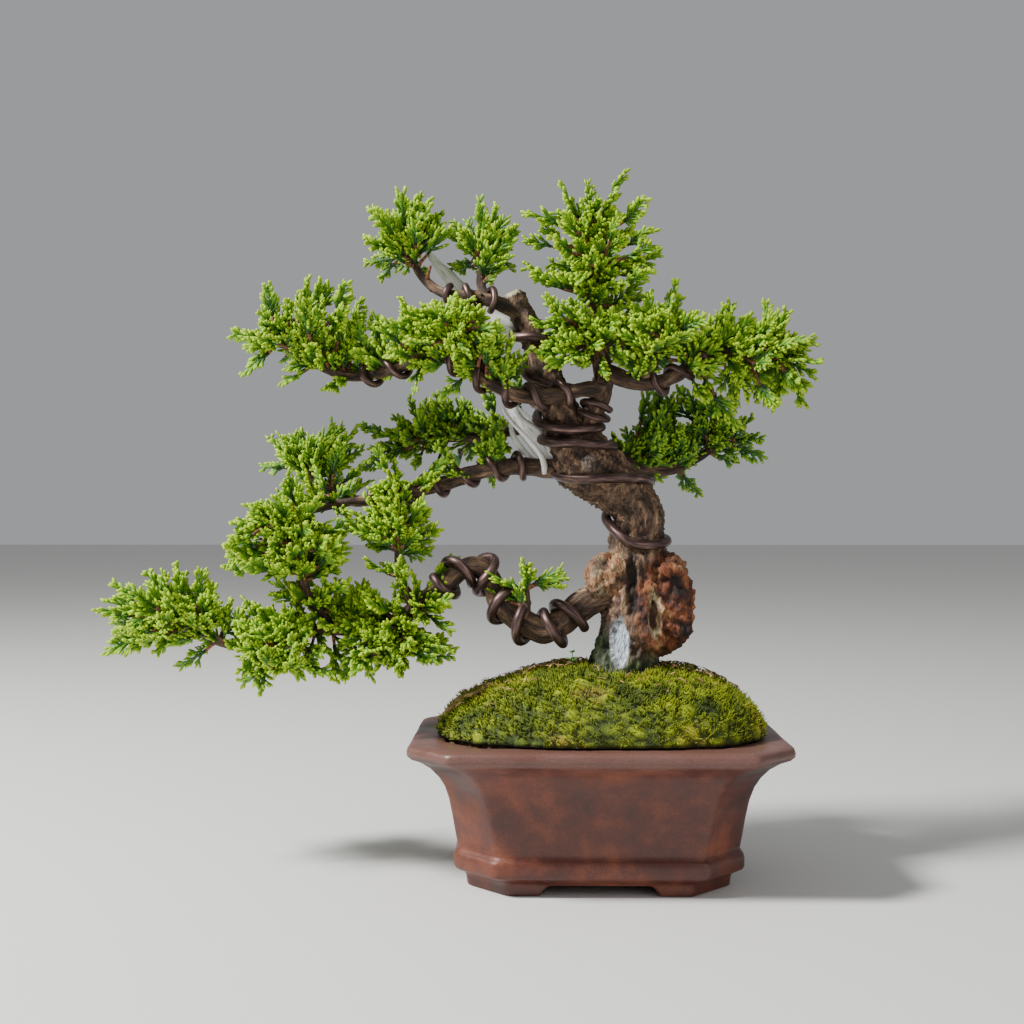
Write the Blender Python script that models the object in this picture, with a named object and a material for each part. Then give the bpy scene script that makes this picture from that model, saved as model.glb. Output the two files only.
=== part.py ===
"""A small trained juniper in an unglazed stoneware pot.

Lengths are in millimetres and are turned to metres by place(). They are measured from the pot's
centre on the surface it stands on: +X to the right of the front view, +Y to the back, +Z up. The
part's own origin is at the middle of the whole tree and pot, so the pot stands at POT_AT.
"""

import math

import bmesh
import bpy
import numpy as np
from mathutils import Vector, noise

MM = 0.001
GAP = 0.3
POT_AT = (37.4, 0.0)

# Pot: a rectangle with its corners cut off, flared to a thick lip.
RIM_HALF_WIDTH = 49.5
DEPTH_LESS = 10.5  # the pot is this much less deep than wide, from its centre
CORNER_CUT = (10.8, 12.0)
POT_HEIGHT = 38.9
FLOOR_TOP = 8.0
UNDERSIDE = 3.1
DRAIN_AT = 17.0
DRAIN_RADIUS = 4.5

# Soil and moss: both are heaped towards the trunk.
MOSS_HALF = (43.8, 33.5)
MOSS_CENTRE_X = 1.2
MOSS_BASE = POT_HEIGHT + 0.4
MOSS_HEIGHT = 17.2
SOIL_HALF_WIDTH = 39.2
SOIL_RISE = 11.5

# Wire: annealed aluminium, thicker on the thicker wood.
HEAVY_WIRE = 1.35
LIGHT_WIRE = 0.95
WIRE_LIFT = 0.45  # space left between a wire and the bark it is wound on


def clear_scene():
    for obj in list(bpy.data.objects):
        bpy.data.objects.remove(obj, do_unlink=True)


def place(x, y, z):
    return Vector(((POT_AT[0] + x) * MM, (POT_AT[1] + y) * MM, z * MM))


def finish(name, colour, roughness, metallic=0.0):
    material = bpy.data.materials.get(name) or bpy.data.materials.new(name)
    material.use_nodes = True
    shader = material.node_tree.nodes["Principled BSDF"]
    shader.inputs["Base Color"].default_value = (*colour, 1.0)
    shader.inputs["Roughness"].default_value = roughness
    shader.inputs["Metallic"].default_value = metallic
    return material


def add_mesh(name, bm, material):
    """An object from this bmesh, its faces turned out and its round stretches smooth."""
    bmesh.ops.recalc_face_normals(bm, faces=bm.faces)
    mesh = bpy.data.meshes.new(name)
    bm.to_mesh(mesh)
    bm.free()
    mesh.shade_smooth()
    mesh.set_sharp_from_angle(angle=math.radians(40))
    mesh.materials.append(material)
    obj = bpy.data.objects.new(name, mesh)
    bpy.context.scene.collection.objects.link(obj)
    return obj


def apply_modifiers(obj):
    bpy.context.view_layer.update()
    graph = bpy.context.evaluated_depsgraph_get()
    mesh = bpy.data.meshes.new_from_object(obj.evaluated_get(graph))
    obj.modifiers.clear()
    obj.data = mesh


def combine(obj, others, operation):
    """Joins the others to the object, or cuts them from it, and removes them."""
    for other in others:
        modifier = obj.modifiers.new(operation.lower(), "BOOLEAN")
        modifier.operation = operation
        modifier.solver = "EXACT"
        modifier.object = other
    apply_modifiers(obj)
    for other in others:
        bpy.data.objects.remove(other, do_unlink=True)


def swollen(obj, by):
    """A copy of the object, every face moved out, to cut room for the object with."""
    copy = obj.copy()
    copy.data = obj.data.copy()
    bpy.context.scene.collection.objects.link(copy)
    modifier = copy.modifiers.new("swell", "DISPLACE")
    modifier.mid_level = 0.0
    modifier.strength = by * MM
    apply_modifiers(copy)
    return copy


def smooth(route, step):
    """Stations (x, y, z, radius) on a smooth curve through the route's, one every step or so."""
    route = [Vector(station) for station in route]
    stations = []
    for i in range(len(route) - 1):
        before, here = route[max(i - 1, 0)], route[i]
        there, after = route[i + 1], route[min(i + 2, len(route) - 1)]
        count = max(1, round((there.xyz - here.xyz).length / step))
        for j in range(count):
            t = j / count
            cubic = 3 * here - before - 3 * there + after
            square = 2 * before - 5 * here + 4 * there - after
            station = 2 * here + (there - before) * t + square * t**2 + cubic * t**3
            stations.append(station / 2)
    return stations + [route[-1]]


def rod(name, stations, material, corner_pairs=2):
    """A round bar along the stations, as a curve with a bevel and filled caps."""
    curve = bpy.data.curves.new(name, "CURVE")
    curve.dimensions = "3D"
    curve.bevel_depth = MM
    curve.bevel_resolution = corner_pairs
    curve.use_fill_caps = True
    curve.materials.append(material)
    spline = curve.splines.new("POLY")
    spline.points.add(len(stations) - 1)
    for point, (x, y, z, radius) in zip(spline.points, stations):
        point.co = (*place(x, y, z), 1.0)
        point.radius = radius
    obj = bpy.data.objects.new(name, curve)
    bpy.context.scene.collection.objects.link(obj)
    return obj


def limb(name, stations, material, more_radius=0.0):
    """The same bar as a mesh, which a Boolean can take."""
    wider = [(x, y, z, radius + more_radius) for x, y, z, radius in stations]
    bar = rod(name, wider, material)
    bpy.context.view_layer.update()
    graph = bpy.context.evaluated_depsgraph_get()
    bm = bmesh.new()
    bm.from_mesh(bar.evaluated_get(graph).to_mesh())
    bmesh.ops.remove_doubles(bm, verts=bm.verts, dist=0.001 * MM)
    bpy.data.objects.remove(bar, do_unlink=True)
    return add_mesh(name, bm, material)


def octagon(half_width, half_depth):
    """The corners of a rectangle with cut corners, anticlockwise from above."""
    cut_x, cut_y = CORNER_CUT
    inner_x, inner_y = half_width - cut_x, half_depth - cut_y
    return [
        (half_width, -inner_y),
        (half_width, inner_y),
        (inner_x, half_depth),
        (-inner_x, half_depth),
        (-half_width, inner_y),
        (-half_width, -inner_y),
        (-inner_x, -half_depth),
        (inner_x, -half_depth),
    ]


def stack(bm, rings):
    """Closed skin over rings of equal count, from the first ring's cap to the last one's."""
    rings = [[bm.verts.new(place(*corner)) for corner in ring] for ring in rings]
    for lower, upper in zip(rings, rings[1:]):
        for i in range(len(lower)):
            j = (i + 1) % len(lower)
            bm.faces.new((lower[i], lower[j], upper[j], upper[i]))
    bm.faces.new(reversed(rings[0]))
    bm.faces.new(rings[-1])


def octagon_ring(half_width, z):
    return [(x, y, z) for x, y in octagon(half_width, half_width - DEPTH_LESS)]


def heap(rho):
    """Height of the heaped soil or moss, from 1 at its middle to 0 at its edge."""
    return max(0.0, 1 - rho**3.2) ** 0.62


# Pot ---------------------------------------------------------------------------------------


def foot_recess(half_at_ground, half_at_top, along_y):
    """A cutter for the low gap between two bracket feet, with sloped ends."""
    reach, top, below = 60.0, UNDERSIDE - 0.2, -1.0
    slope = (half_at_ground - half_at_top) / top
    bm = bmesh.new()
    rings = []
    for end in (-reach, reach):
        low, high = half_at_ground - slope * below, half_at_top
        ring = [(-low, end, below), (low, end, below), (high, end, top), (-high, end, top)]
        if not along_y:
            ring = [(y, x, z) for x, y, z in ring]
        rings.append(ring)
    stack(bm, rings)
    return add_mesh("foot_recess", bm, STONEWARE)


def drain_hole(x):
    bm = bmesh.new()
    count = 20
    turns = [2 * math.pi * i / count for i in range(count)]
    rings = []
    for z in (UNDERSIDE - 2.0, FLOOR_TOP + 2.0):
        ring = [(x + DRAIN_RADIUS * math.cos(a), DRAIN_RADIUS * math.sin(a), z) for a in turns]
        rings.append(ring)
    stack(bm, rings)
    return add_mesh("drain_hole", bm, STONEWARE)


def make_pot():
    """Half-width and height of each edge, from the middle of the underside out, up and in."""
    profile = [
        (28.6, UNDERSIDE),
        (29.5, 0.0),
        (34.6, 0.0),
        (35.0, UNDERSIDE),
        (37.0, 4.7),
        (38.0, 5.4),
        (38.1, 8.2),
        (37.7, 9.6),
        (37.0, 10.5),
        (37.5, 13.5),
        (38.3, 18.3),
        (39.3, 23.5),
        (40.5, 27.0),
        (41.9, 29.7),
        (43.9, 32.2),
        (46.4, 34.2),
        (48.7, 35.4),
        (RIM_HALF_WIDTH, 36.6),
        (RIM_HALF_WIDTH, 38.0),
        (RIM_HALF_WIDTH - 0.9, POT_HEIGHT),
        (40.6, POT_HEIGHT),
        (39.9, 38.3),
        (38.4, 33.0),
        (36.5, 28.0),
        (34.8, 20.0),
        (33.9, 12.0),
        (33.5, FLOOR_TOP),
    ]
    bm = bmesh.new()
    stack(bm, [octagon_ring(half_width, z) for half_width, z in profile])
    pot = add_mesh("pot", bm, STONEWARE)
    cutters = [
        foot_recess(15.8, 13.1, along_y=True),
        foot_recess(10.5, 8.0, along_y=False),
        drain_hole(-DRAIN_AT),
        drain_hole(DRAIN_AT),
    ]
    combine(pot, cutters, "DIFFERENCE")


# Drainage mesh and its clip ----------------------------------------------------------------

MESH_HALF = 6.6
MESH_CELLS = 4
MESH_THICKNESS = 0.8
MESH_Z = FLOOR_TOP + GAP + MESH_THICKNESS / 2
CLIP_RADIUS = 0.5


def make_drain_cover(side, x):
    bm = bmesh.new()
    bmesh.ops.create_grid(
        bm, x_segments=MESH_CELLS, y_segments=MESH_CELLS, size=MESH_HALF * MM
    )
    bmesh.ops.translate(bm, verts=bm.verts, vec=place(x, 0.0, MESH_Z))
    mesh = add_mesh(f"drainage_mesh_{side}", bm, MESH_PLASTIC)
    lattice = mesh.modifiers.new("strands", "WIREFRAME")
    lattice.thickness = MESH_THICKNESS * MM
    lattice.use_even_offset = True
    lattice.use_boundary = True
    cell_middle = MESH_HALF / MESH_CELLS
    half_clip = [
        (0.0, 10.1),
        (1.3, 9.8),
        (cell_middle, 8.4),
        (1.8, 6.0),
        (2.6, 3.6),
        (4.4, 2.1),
        (8.5, 2.1),
    ]
    outline = [(-u, z) for u, z in reversed(half_clip)] + half_clip[1:]
    route = [(x + u, cell_middle, z, CLIP_RADIUS) for u, z in outline]
    rod(f"mesh_clip_{side}", smooth(route, 1.6), WIRE, corner_pairs=1)


# Soil and moss -----------------------------------------------------------------------------


def drain_pocket(x):
    """A cutter that leaves room in the soil for a mesh and its clip."""
    half, top = MESH_HALF + 1.0, 11.5
    bm = bmesh.new()
    corners = ((-half, -half), (half, -half), (half, half), (-half, half))
    stack(bm, [[(x + u, v, z) for u, v in corners] for z in (FLOOR_TOP - 1.0, top)])
    return add_mesh("drain_pocket", bm, SOIL)


def make_soil(trunk):
    half_width, top = SOIL_HALF_WIDTH, POT_HEIGHT - 0.9
    wall = [(33.1, FLOOR_TOP + GAP), (33.5, 12.0), (34.4, 20.0), (36.1, 28.0), (38.0, 33.0)]
    bm = bmesh.new()
    rings = [octagon_ring(half, z) for half, z in wall]
    corners = octagon(half_width, half_width - DEPTH_LESS)
    for rho in (1.0, 0.92, 0.8, 0.6, 0.35, 0.1):
        z = top + SOIL_RISE * heap(rho)
        rings.append([(x * rho, y * rho, z) for x, y in corners])
    stack(bm, rings)
    soil = add_mesh("soil", bm, SOIL)
    pockets = [drain_pocket(-DRAIN_AT), drain_pocket(DRAIN_AT)]
    combine(soil, pockets + [swollen(trunk, GAP)], "DIFFERENCE")


def moss_ring(rho, z):
    ring, count, squareness = [], 28, 2.7
    for i in range(count):
        a = 2 * math.pi * i / count
        x = math.copysign(abs(math.cos(a)) ** (2 / squareness), math.cos(a))
        y = math.copysign(abs(math.sin(a)) ** (2 / squareness), math.sin(a))
        ring.append((MOSS_CENTRE_X + MOSS_HALF[0] * rho * x, MOSS_HALF[1] * rho * y, z))
    return ring


def make_moss(trunk):
    over_soil, edge = 0.97, 1.0
    bm = bmesh.new()
    rings = []
    for rho in (0.1, 0.35, 0.6, 0.75, 0.85, 0.92, 1.0):
        rings.append(moss_ring(rho, MOSS_BASE + SOIL_RISE * heap(rho / over_soil)))
    for rho in (1.0, 0.97, 0.9, 0.8, 0.65, 0.45, 0.2, 0.05):
        z = MOSS_BASE + edge + (MOSS_HEIGHT - edge) * heap(rho)
        rings.append(moss_ring(rho, z))
    stack(bm, rings)
    moss = add_mesh("moss", bm, MOSS)
    combine(moss, [swollen(trunk, GAP)], "DIFFERENCE")


# Trunk -------------------------------------------------------------------------------------

TRUNK_ROUTE = [
    (7.0, 0.0, 41.0, 11.5),
    (7.0, 0.0, 49.0, 10.5),
    (7.3, 0.0, 56.0, 9.4),
    (9.0, 0.0, 63.0, 8.6),
    (11.0, 0.0, 70.0, 9.4),
    (12.0, 0.0, 78.0, 9.6),
    (11.0, 0.0, 86.0, 7.9),
    (10.8, 0.0, 91.0, 6.6),
    (11.6, 0.0, 97.0, 6.8),
    (8.6, 0.0, 102.6, 6.7),
    (3.6, 0.0, 106.6, 7.4),
    (-1.8, 0.0, 111.0, 8.6),
    (-5.6, 0.0, 117.5, 7.0),
    (-8.6, 0.0, 123.0, 5.6),
    (-10.8, 0.0, 128.5, 4.7),
    (-13.3, 0.0, 135.0, 4.0),
    (-15.9, 0.0, 142.6, 3.5),
    (-19.4, 0.0, 150.4, 3.1),
    (-23.3, 0.0, 158.2, 2.9),
]
BURLS = [
    ((17.2, -1.0, 74.0), (9.0, 8.6, 14.4)),
    ((2.4, -2.0, 81.0), (5.6, 5.8, 6.2)),
    ((-2.5, -0.5, 110.5), (9.2, 8.4, 7.0)),
    ((5.0, -1.0, 52.0), (11.5, 10.0, 6.5)),
]
ROOTS = 5


def lump(name, centre, half, material, lumpiness=0.0, seed=0):
    """A rounded lump as wide each way as twice half, its surface swelling in and out."""
    bm = bmesh.new()
    bmesh.ops.create_icosphere(bm, subdivisions=3, radius=1.0)
    for vert in bm.verts:
        out = vert.co.normalized()
        swell = 1 + lumpiness * noise.noise(out * 2.1 + Vector((seed * 7.3, 0.0, 0.0)))
        vert.co = place(*(c + h * swell * o for c, h, o in zip(centre, half, out)))
    return add_mesh(name, bm, material)


def root_route(i):
    turn = 2 * math.pi * (i + 0.3) / ROOTS
    out, back = math.cos(turn), math.sin(turn)
    stations = ((4.0, 47.0, 5.0), (12.0, 42.0, 3.8), (17.0, 35.0, 2.8), (20.0, 27.0, 1.8))
    return [(7.0 + reach * out, reach * back, z, radius) for reach, z, radius in stations]


def make_trunk():
    """The trunk with its burls and roots grown together into one smooth body."""
    parts = [limb("trunk", smooth(TRUNK_ROUTE, 4.0), BARK)]
    for centre, half in BURLS:
        parts.append(lump("burl", centre, half, BARK, 0.12, len(parts)))
    for i in range(ROOTS):
        parts.append(limb("root", smooth(root_route(i), 4.0), BARK))
    bm = bmesh.new()
    for part in parts:
        bm.from_mesh(part.data)
        bpy.data.objects.remove(part, do_unlink=True)
    trunk = add_mesh("trunk", bm, BARK)
    grown = trunk.modifiers.new("grown together", "REMESH")
    grown.mode = "VOXEL"
    grown.voxel_size = 1.5 * MM
    fewer = trunk.modifiers.new("fewer faces", "DECIMATE")
    fewer.ratio = 0.15
    apply_modifiers(trunk)
    return trunk


# Branches ----------------------------------------------------------------------------------

LOWER_LEFT = [
    (9.0, -1.0, 76.0, 3.9),
    (1.0, -2.0, 75.0, 3.8),
    (-4.7, -3.0, 72.4, 3.7),
    (-9.9, -4.0, 68.4, 3.5),
    (-14.2, -5.0, 66.7, 3.4),
    (-18.5, -5.0, 68.0, 3.3),
    (-22.5, -4.0, 70.6, 3.2),
    (-26.2, -3.0, 74.4, 3.1),
    (-28.4, -2.0, 79.0, 3.0),
    (-32.0, -2.0, 83.2, 2.8),
    (-37.0, -3.0, 82.6, 2.6),
    (-41.4, -4.0, 78.6, 2.4),
    (-47.5, -5.0, 74.6, 2.2),
    (-54.0, -5.0, 69.0, 2.1),
    (-62.0, -5.0, 66.8, 2.0),
    (-71.0, -4.0, 66.9, 1.8),
    (-81.0, -3.0, 66.0, 1.6),
    (-91.0, -2.0, 61.5, 1.4),
    (-101.0, -1.0, 62.5, 1.2),
    (-111.0, 0.0, 67.0, 1.0),
]
MID_LEFT = [
    (-3.0, 1.0, 109.0, 2.9),
    (-10.0, 2.0, 110.4, 2.7),
    (-17.0, 3.0, 110.9, 2.4),
    (-25.0, 4.0, 111.0, 2.3),
    (-32.5, 4.0, 109.6, 2.1),
    (-41.0, 4.0, 106.6, 2.0),
    (-49.0, 3.0, 104.6, 1.9),
    (-58.0, 3.0, 102.4, 1.7),
    (-67.0, 4.0, 101.8, 1.5),
    (-75.0, 6.0, 105.0, 1.3),
    (-80.0, 8.0, 110.0, 1.0),
]
APEX = [
    (-4.0, -1.0, 117.0, 3.0),
    (-1.6, -4.0, 123.5, 2.8),
    (1.0, -4.0, 130.0, 2.7),
    (1.6, -3.0, 137.0, 2.5),
    (-0.6, -2.0, 145.0, 2.2),
    (-1.4, 0.0, 154.0, 1.8),
    (-1.0, 0.0, 164.0, 1.4),
    (-2.0, 0.0, 173.0, 1.0),
]
FRONT_TOP_LEFT = [
    (1.0, -4.0, 131.5, 2.3),
    (-4.0, -9.0, 131.0, 2.2),
    (-11.0, -11.0, 129.4, 2.1),
    (-20.8, -11.5, 129.2, 2.0),
    (-28.0, -11.5, 132.2, 1.9),
    (-34.0, -11.0, 136.0, 1.8),
    (-41.0, -10.0, 139.6, 1.7),
    (-49.0, -8.0, 138.6, 1.6),
    (-57.0, -6.0, 136.2, 1.5),
    (-66.0, -4.0, 135.0, 1.4),
    (-75.0, -3.0, 138.0, 1.2),
    (-85.0, -2.0, 144.0, 0.9),
]
CROWN_LEFT = [
    (-20.0, -0.5, 151.6, 2.0),
    (-26.5, -2.5, 155.0, 1.9),
    (-33.0, -2.5, 157.0, 1.7),
    (-40.0, -0.5, 157.4, 1.5),
    (-47.0, 2.0, 162.0, 1.2),
    (-51.0, 5.0, 169.0, 0.9),
]
RIGHT = [
    (1.3, -3.2, 137.0, 2.2),
    (8.0, -5.0, 133.8, 2.1),
    (15.0, -6.0, 133.0, 2.0),
    (20.6, -6.0, 134.8, 1.8),
    (26.4, -5.0, 138.8, 1.6),
    (33.0, -4.0, 141.6, 1.4),
    (44.0, -2.0, 142.6, 1.0),
]
BACK_RIGHT = [
    (-1.0, 3.0, 112.0, 2.5),
    (6.0, 10.0, 113.0, 2.2),
    (14.6, 15.0, 111.0, 1.9),
    (21.0, 18.0, 110.4, 1.6),
    (30.0, 21.0, 114.0, 1.2),
    (36.0, 22.0, 119.0, 0.9),
]
BACK_LEFT = [
    (-6.0, 3.0, 119.0, 2.2),
    (-13.0, 10.0, 121.0, 2.0),
    (-23.0, 15.0, 121.6, 1.7),
    (-34.0, 17.0, 120.0, 1.4),
    (-46.0, 17.0, 119.0, 0.9),
]
JIN_UPPER = [
    (-16.0, 3.0, 146.0, 2.9),
    (-24.0, 7.0, 150.0, 2.8),
    (-31.0, 9.0, 154.4, 2.7),
    (-37.0, 10.0, 159.4, 2.4),
    (-42.4, 10.0, 165.6, 1.7),
    (-47.0, 10.0, 171.4, 0.6),
]
JIN_LOWER = [
    (-6.0, 5.0, 108.0, 3.0),
    (-13.0, 8.0, 114.5, 3.2),
    (-19.0, 9.0, 122.4, 2.7),
    (-25.2, 9.0, 130.2, 0.8),
]
TWIGS = {
    "branch_apex": [
        [(-0.4, -2.0, 143.0, 1.6), (4.0, 7.0, 143.6, 1.3), (8.0, 16.0, 145.0, 0.9)],
    ],
    "branch_lower_left": [
        [(-19.5, -5.0, 68.6, 1.4), (-19.0, -7.5, 73.0, 1.2), (-19.0, -8.0, 78.0, 0.8)],
        [(-49.0, -5.0, 73.4, 1.5), (-53.0, -4.0, 80.0, 1.3), (-54.0, -3.0, 90.0, 0.9)],
        [(-52.0, -5.0, 70.8, 1.3), (-54.0, -6.0, 66.0, 1.1), (-55.0, -6.0, 61.0, 0.8)],
        [(-70.0, -4.0, 66.9, 1.5), (-77.0, -6.0, 74.0, 1.3), (-81.0, -8.0, 88.0, 0.9)],
        [(-80.0, -3.0, 66.2, 1.3), (-83.0, -6.0, 62.5, 1.1), (-85.0, -8.0, 58.0, 0.8)],
    ],
    "branch_mid_left": [
        [(-65.0, 3.7, 101.8, 1.3), (-74.0, 0.0, 100.0, 1.1), (-80.0, -4.0, 98.0, 0.8)],
    ],
    "branch_front_top_left": [
        [(-37.0, -10.6, 138.0, 1.5), (-38.0, -13.0, 142.0, 1.2), (-38.0, -14.0, 147.0, 0.8)],
    ],
    "branch_crown_left": [
        [(-30.0, -2.5, 156.4, 1.4), (-31.5, 1.0, 161.0, 1.2), (-31.5, 4.0, 168.0, 0.8)],
    ],
    "branch_right": [
        [(12.0, -5.6, 133.2, 1.5), (15.0, -7.0, 138.0, 1.3), (17.0, -8.0, 144.0, 0.9)],
    ],
}


# Training wire -----------------------------------------------------------------------------

TRUNK_PASSES = (91.0, 108.4, 118.2, 121.6, 134.0, 147.0)
# The wire's own way up the trunk: the radius is as wide as the bark swells there.
TRUNK_WRAP = [
    (10.8, 0.0, 84.0, 7.9),
    (10.8, 0.0, 91.0, 6.9),
    (11.6, 0.0, 97.0, 7.4),
    (8.2, 0.0, 102.6, 8.8),
    (1.8, 0.0, 108.4, 10.8),
    (-4.0, 0.0, 114.5, 11.5),
    (-6.6, 0.0, 119.5, 8.2),
    (-9.2, 0.0, 125.0, 6.0),
    (-11.2, 0.0, 129.5, 5.0),
    (-13.3, 0.0, 135.0, 4.2),
    (-15.9, 0.0, 142.6, 3.7),
    (-19.4, 0.0, 150.4, 3.3),
]


def coil(route, passes, wire_radius, tail=0.2, hand=1, dip=0.0, level=0.0):
    """Stations of a wire wound on a route, passing its front at each of these distances.

    A turn's front is lower than its back by twice the dip. Hand is -1 for a wire that climbs
    towards the left as it passes the front. Level is 1 for turns that lie flat on a leaning
    limb, and 0 for turns square to it.
    """
    stations = smooth(route, 1.5)
    points = np.array([station[:] for station in stations])
    steps = np.linalg.norm(np.diff(points[:, :3], axis=0), axis=1)
    distance = np.concatenate([[0.0], np.cumsum(steps)])
    per_turn = 8
    turns = np.arange(-tail, len(passes) - 1 + tail, 1 / per_turn)
    ordinals = np.arange(len(passes))
    wound = []
    for turn in turns:
        angle = 2 * math.pi * turn
        at = np.interp(turn, ordinals, passes) - dip * math.cos(angle)
        here = Vector([np.interp(at, distance, points[:, k]) for k in range(4)])
        ahead = Vector([np.interp(at + 0.8, distance, points[:, k]) for k in range(3)])
        behind = Vector([np.interp(at - 0.8, distance, points[:, k]) for k in range(3)])
        along = (ahead - behind).normalized().lerp(Vector((0.0, 0.0, 1.0)), level).normalized()
        front = Vector((0.0, -1.0, 0.0))
        front = (front - front.dot(along) * along).normalized()
        side = hand * along.cross(front)
        reach = here.w + wire_radius + WIRE_LIFT
        centre = here.xyz + reach * (math.cos(angle) * front + math.sin(angle) * side)
        wound.append((*centre, wire_radius))
    return wound


def distance_at_height(route, heights):
    stations = np.array([station[:] for station in smooth(route, 1.5)])
    steps = np.linalg.norm(np.diff(stations[:, :3], axis=0), axis=1)
    distance = np.concatenate([[0.0], np.cumsum(steps)])
    return list(np.interp(heights, stations[:, 2], distance))


def even_passes(start, end, pitch):
    count = max(2, round((end - start) / pitch) + 1)
    return list(np.linspace(start, end, count))


TRUNK_TURNS = distance_at_height(TRUNK_WRAP, TRUNK_PASSES)
WIRES = {
    "wire_trunk": coil(TRUNK_WRAP, TRUNK_TURNS, HEAVY_WIRE, 0.45, -1, 1.4, 0.75),
    "wire_lower_left": coil(LOWER_LEFT, even_passes(17.0, 64.0, 8.5), HEAVY_WIRE),
    "wire_mid_left": coil(MID_LEFT, even_passes(17.0, 60.0, 9.5), LIGHT_WIRE),
    "wire_front_top_left": coil(FRONT_TOP_LEFT, even_passes(12.0, 70.0, 8.5), LIGHT_WIRE),
    "wire_apex": coil(APEX, even_passes(8.6, 11.6, 3.0), LIGHT_WIRE),
    "wire_crown_left": coil(CROWN_LEFT, even_passes(9.0, 22.0, 5.5), LIGHT_WIRE),
    "wire_right": coil(RIGHT, even_passes(15.0, 30.0, 7.0), LIGHT_WIRE),
}


def make_branch(name, route, material, nearby, wires):
    """A branch with its twigs, cut back clear of the wood it grows from and the wires by it."""
    branch = limb(name, smooth(route, 4.0), material)
    twigs = [limb("twig", smooth(twig, 4.0), material) for twig in TWIGS.get(name, [])]
    if twigs:
        combine(branch, twigs, "UNION")
    cutters = [swollen(other, GAP) for other in nearby]
    cutters += [limb("room", WIRES[wire], material, GAP) for wire in wires]
    combine(branch, cutters, "DIFFERENCE")
    return branch


def make_branches(trunk):
    on_trunk = [trunk]
    wire = ["wire_trunk"]
    make_branch("jin_upper", JIN_UPPER, DEADWOOD, on_trunk, wire)
    jin_lower = make_branch("jin_lower", JIN_LOWER, DEADWOOD, on_trunk, wire)
    apex = make_branch("branch_apex", APEX, BARK, on_trunk, wire)
    make_branch("branch_lower_left", LOWER_LEFT, BARK, on_trunk, ["wire_lower_left"])
    make_branch("branch_mid_left", MID_LEFT, BARK, [trunk, jin_lower], wire)
    make_branch("branch_back_right", BACK_RIGHT, BARK, on_trunk, wire)
    make_branch("branch_back_left", BACK_LEFT, BARK, [trunk, jin_lower], wire)
    make_branch("branch_crown_left", CROWN_LEFT, BARK, on_trunk, ["wire_crown_left"])
    front = make_branch(
        "branch_front_top_left",
        FRONT_TOP_LEFT,
        BARK,
        [trunk, apex],
        ["wire_apex", "wire_front_top_left"],
    )
    make_branch("branch_right", RIGHT, BARK, [apex, front], ["wire_right"])


def make_wires():
    for name, stations in WIRES.items():
        rod(name, stations, WIRE, corner_pairs=1)


# Foliage -----------------------------------------------------------------------------------

PADS = {
    "foliage_left_top": ((-78.5, -2.0, 146.0), (20.8, 19.0, 13.5)),
    "foliage_front_top_left": ((-38.0, -17.0, 143.5), (18.5, 14.0, 12.5)),
    "foliage_crown_left": ((-52.5, 6.0, 172.0), (10.2, 12.0, 12.8)),
    "foliage_crown_middle": ((-31.0, 7.5, 170.0), (9.6, 12.0, 11.5)),
    "foliage_apex": ((-1.0, -1.0, 168.5), (17.6, 18.0, 19.5)),
    "foliage_back_crown": ((9.0, 22.0, 146.0), (14.0, 11.0, 10.5)),
    "foliage_right_inner": ((16.5, -9.0, 143.5), (11.5, 14.0, 10.5)),
    "foliage_right_outer": ((43.6, -2.0, 138.5), (15.1, 18.0, 15.0)),
    "foliage_back_right": ((25.0, 23.0, 119.5), (21.0, 13.0, 12.5)),
    "foliage_mid_left": ((-41.0, 17.0, 118.5), (23.0, 14.0, 10.5)),
    "foliage_left_middle": ((-79.5, 12.0, 112.5), (12.8, 12.0, 8.6)),
    "foliage_left_lower": ((-82.5, -9.0, 89.0), (15.6, 16.0, 15.5)),
    "foliage_far_left": ((-116.0, 0.0, 68.0), (17.6, 16.0, 12.5)),
    "foliage_low_left": ((-84.0, -8.0, 61.0), (12.8, 15.0, 10.5)),
    "foliage_low_middle": ((-55.0, -8.0, 63.0), (14.5, 13.0, 9.5)),
    "foliage_cascade": ((-54.0, -3.0, 92.5), (9.4, 11.0, 11.5)),
    "foliage_front_shoot": ((-19.0, -8.5, 78.0), (6.4, 5.0, 5.6)),
}


def passes_through(stations, centre, half):
    """Whether any of these stations is in or near the lump."""
    reach = [h + 4.0 for h in half]
    for x, y, z, _ in stations:
        offset = [(p - c) / r for p, c, r in zip((x, y, z), centre, reach)]
        if sum(o * o for o in offset) < 1:
            return True
    return False


def make_foliage():
    """Each pad of shoots is one lump, with room in it for the twigs and wires that enter it."""
    clear = 0.6
    heavy, light = [2 * wire + WIRE_LIFT + clear for wire in (HEAVY_WIRE, LIGHT_WIRE)]
    wound = ((LOWER_LEFT, heavy), (MID_LEFT, light), (FRONT_TOP_LEFT, light))
    wound += ((CROWN_LEFT, light), (RIGHT, light))
    bare = [APEX, BACK_RIGHT, BACK_LEFT, JIN_UPPER, JIN_LOWER, TRUNK_ROUTE[-5:]]
    bare += [twig for twigs in TWIGS.values() for twig in twigs]
    rooms = [(smooth(route, 6.0), room) for route, room in wound]
    rooms += [(smooth(route, 6.0), clear) for route in bare]
    for i, (name, (centre, half)) in enumerate(PADS.items()):
        pad = lump(name, centre, half, FOLIAGE, 0.14, i)
        cutters = []
        for stations, room in rooms:
            if passes_through(stations, centre, half):
                end, before = stations[-1], stations[-2]
                beyond = end + (end - before).normalized() * 2 * clear
                cutters.append(limb("room", stations + [beyond], FOLIAGE, room))
        combine(pad, cutters, "DIFFERENCE")


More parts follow.
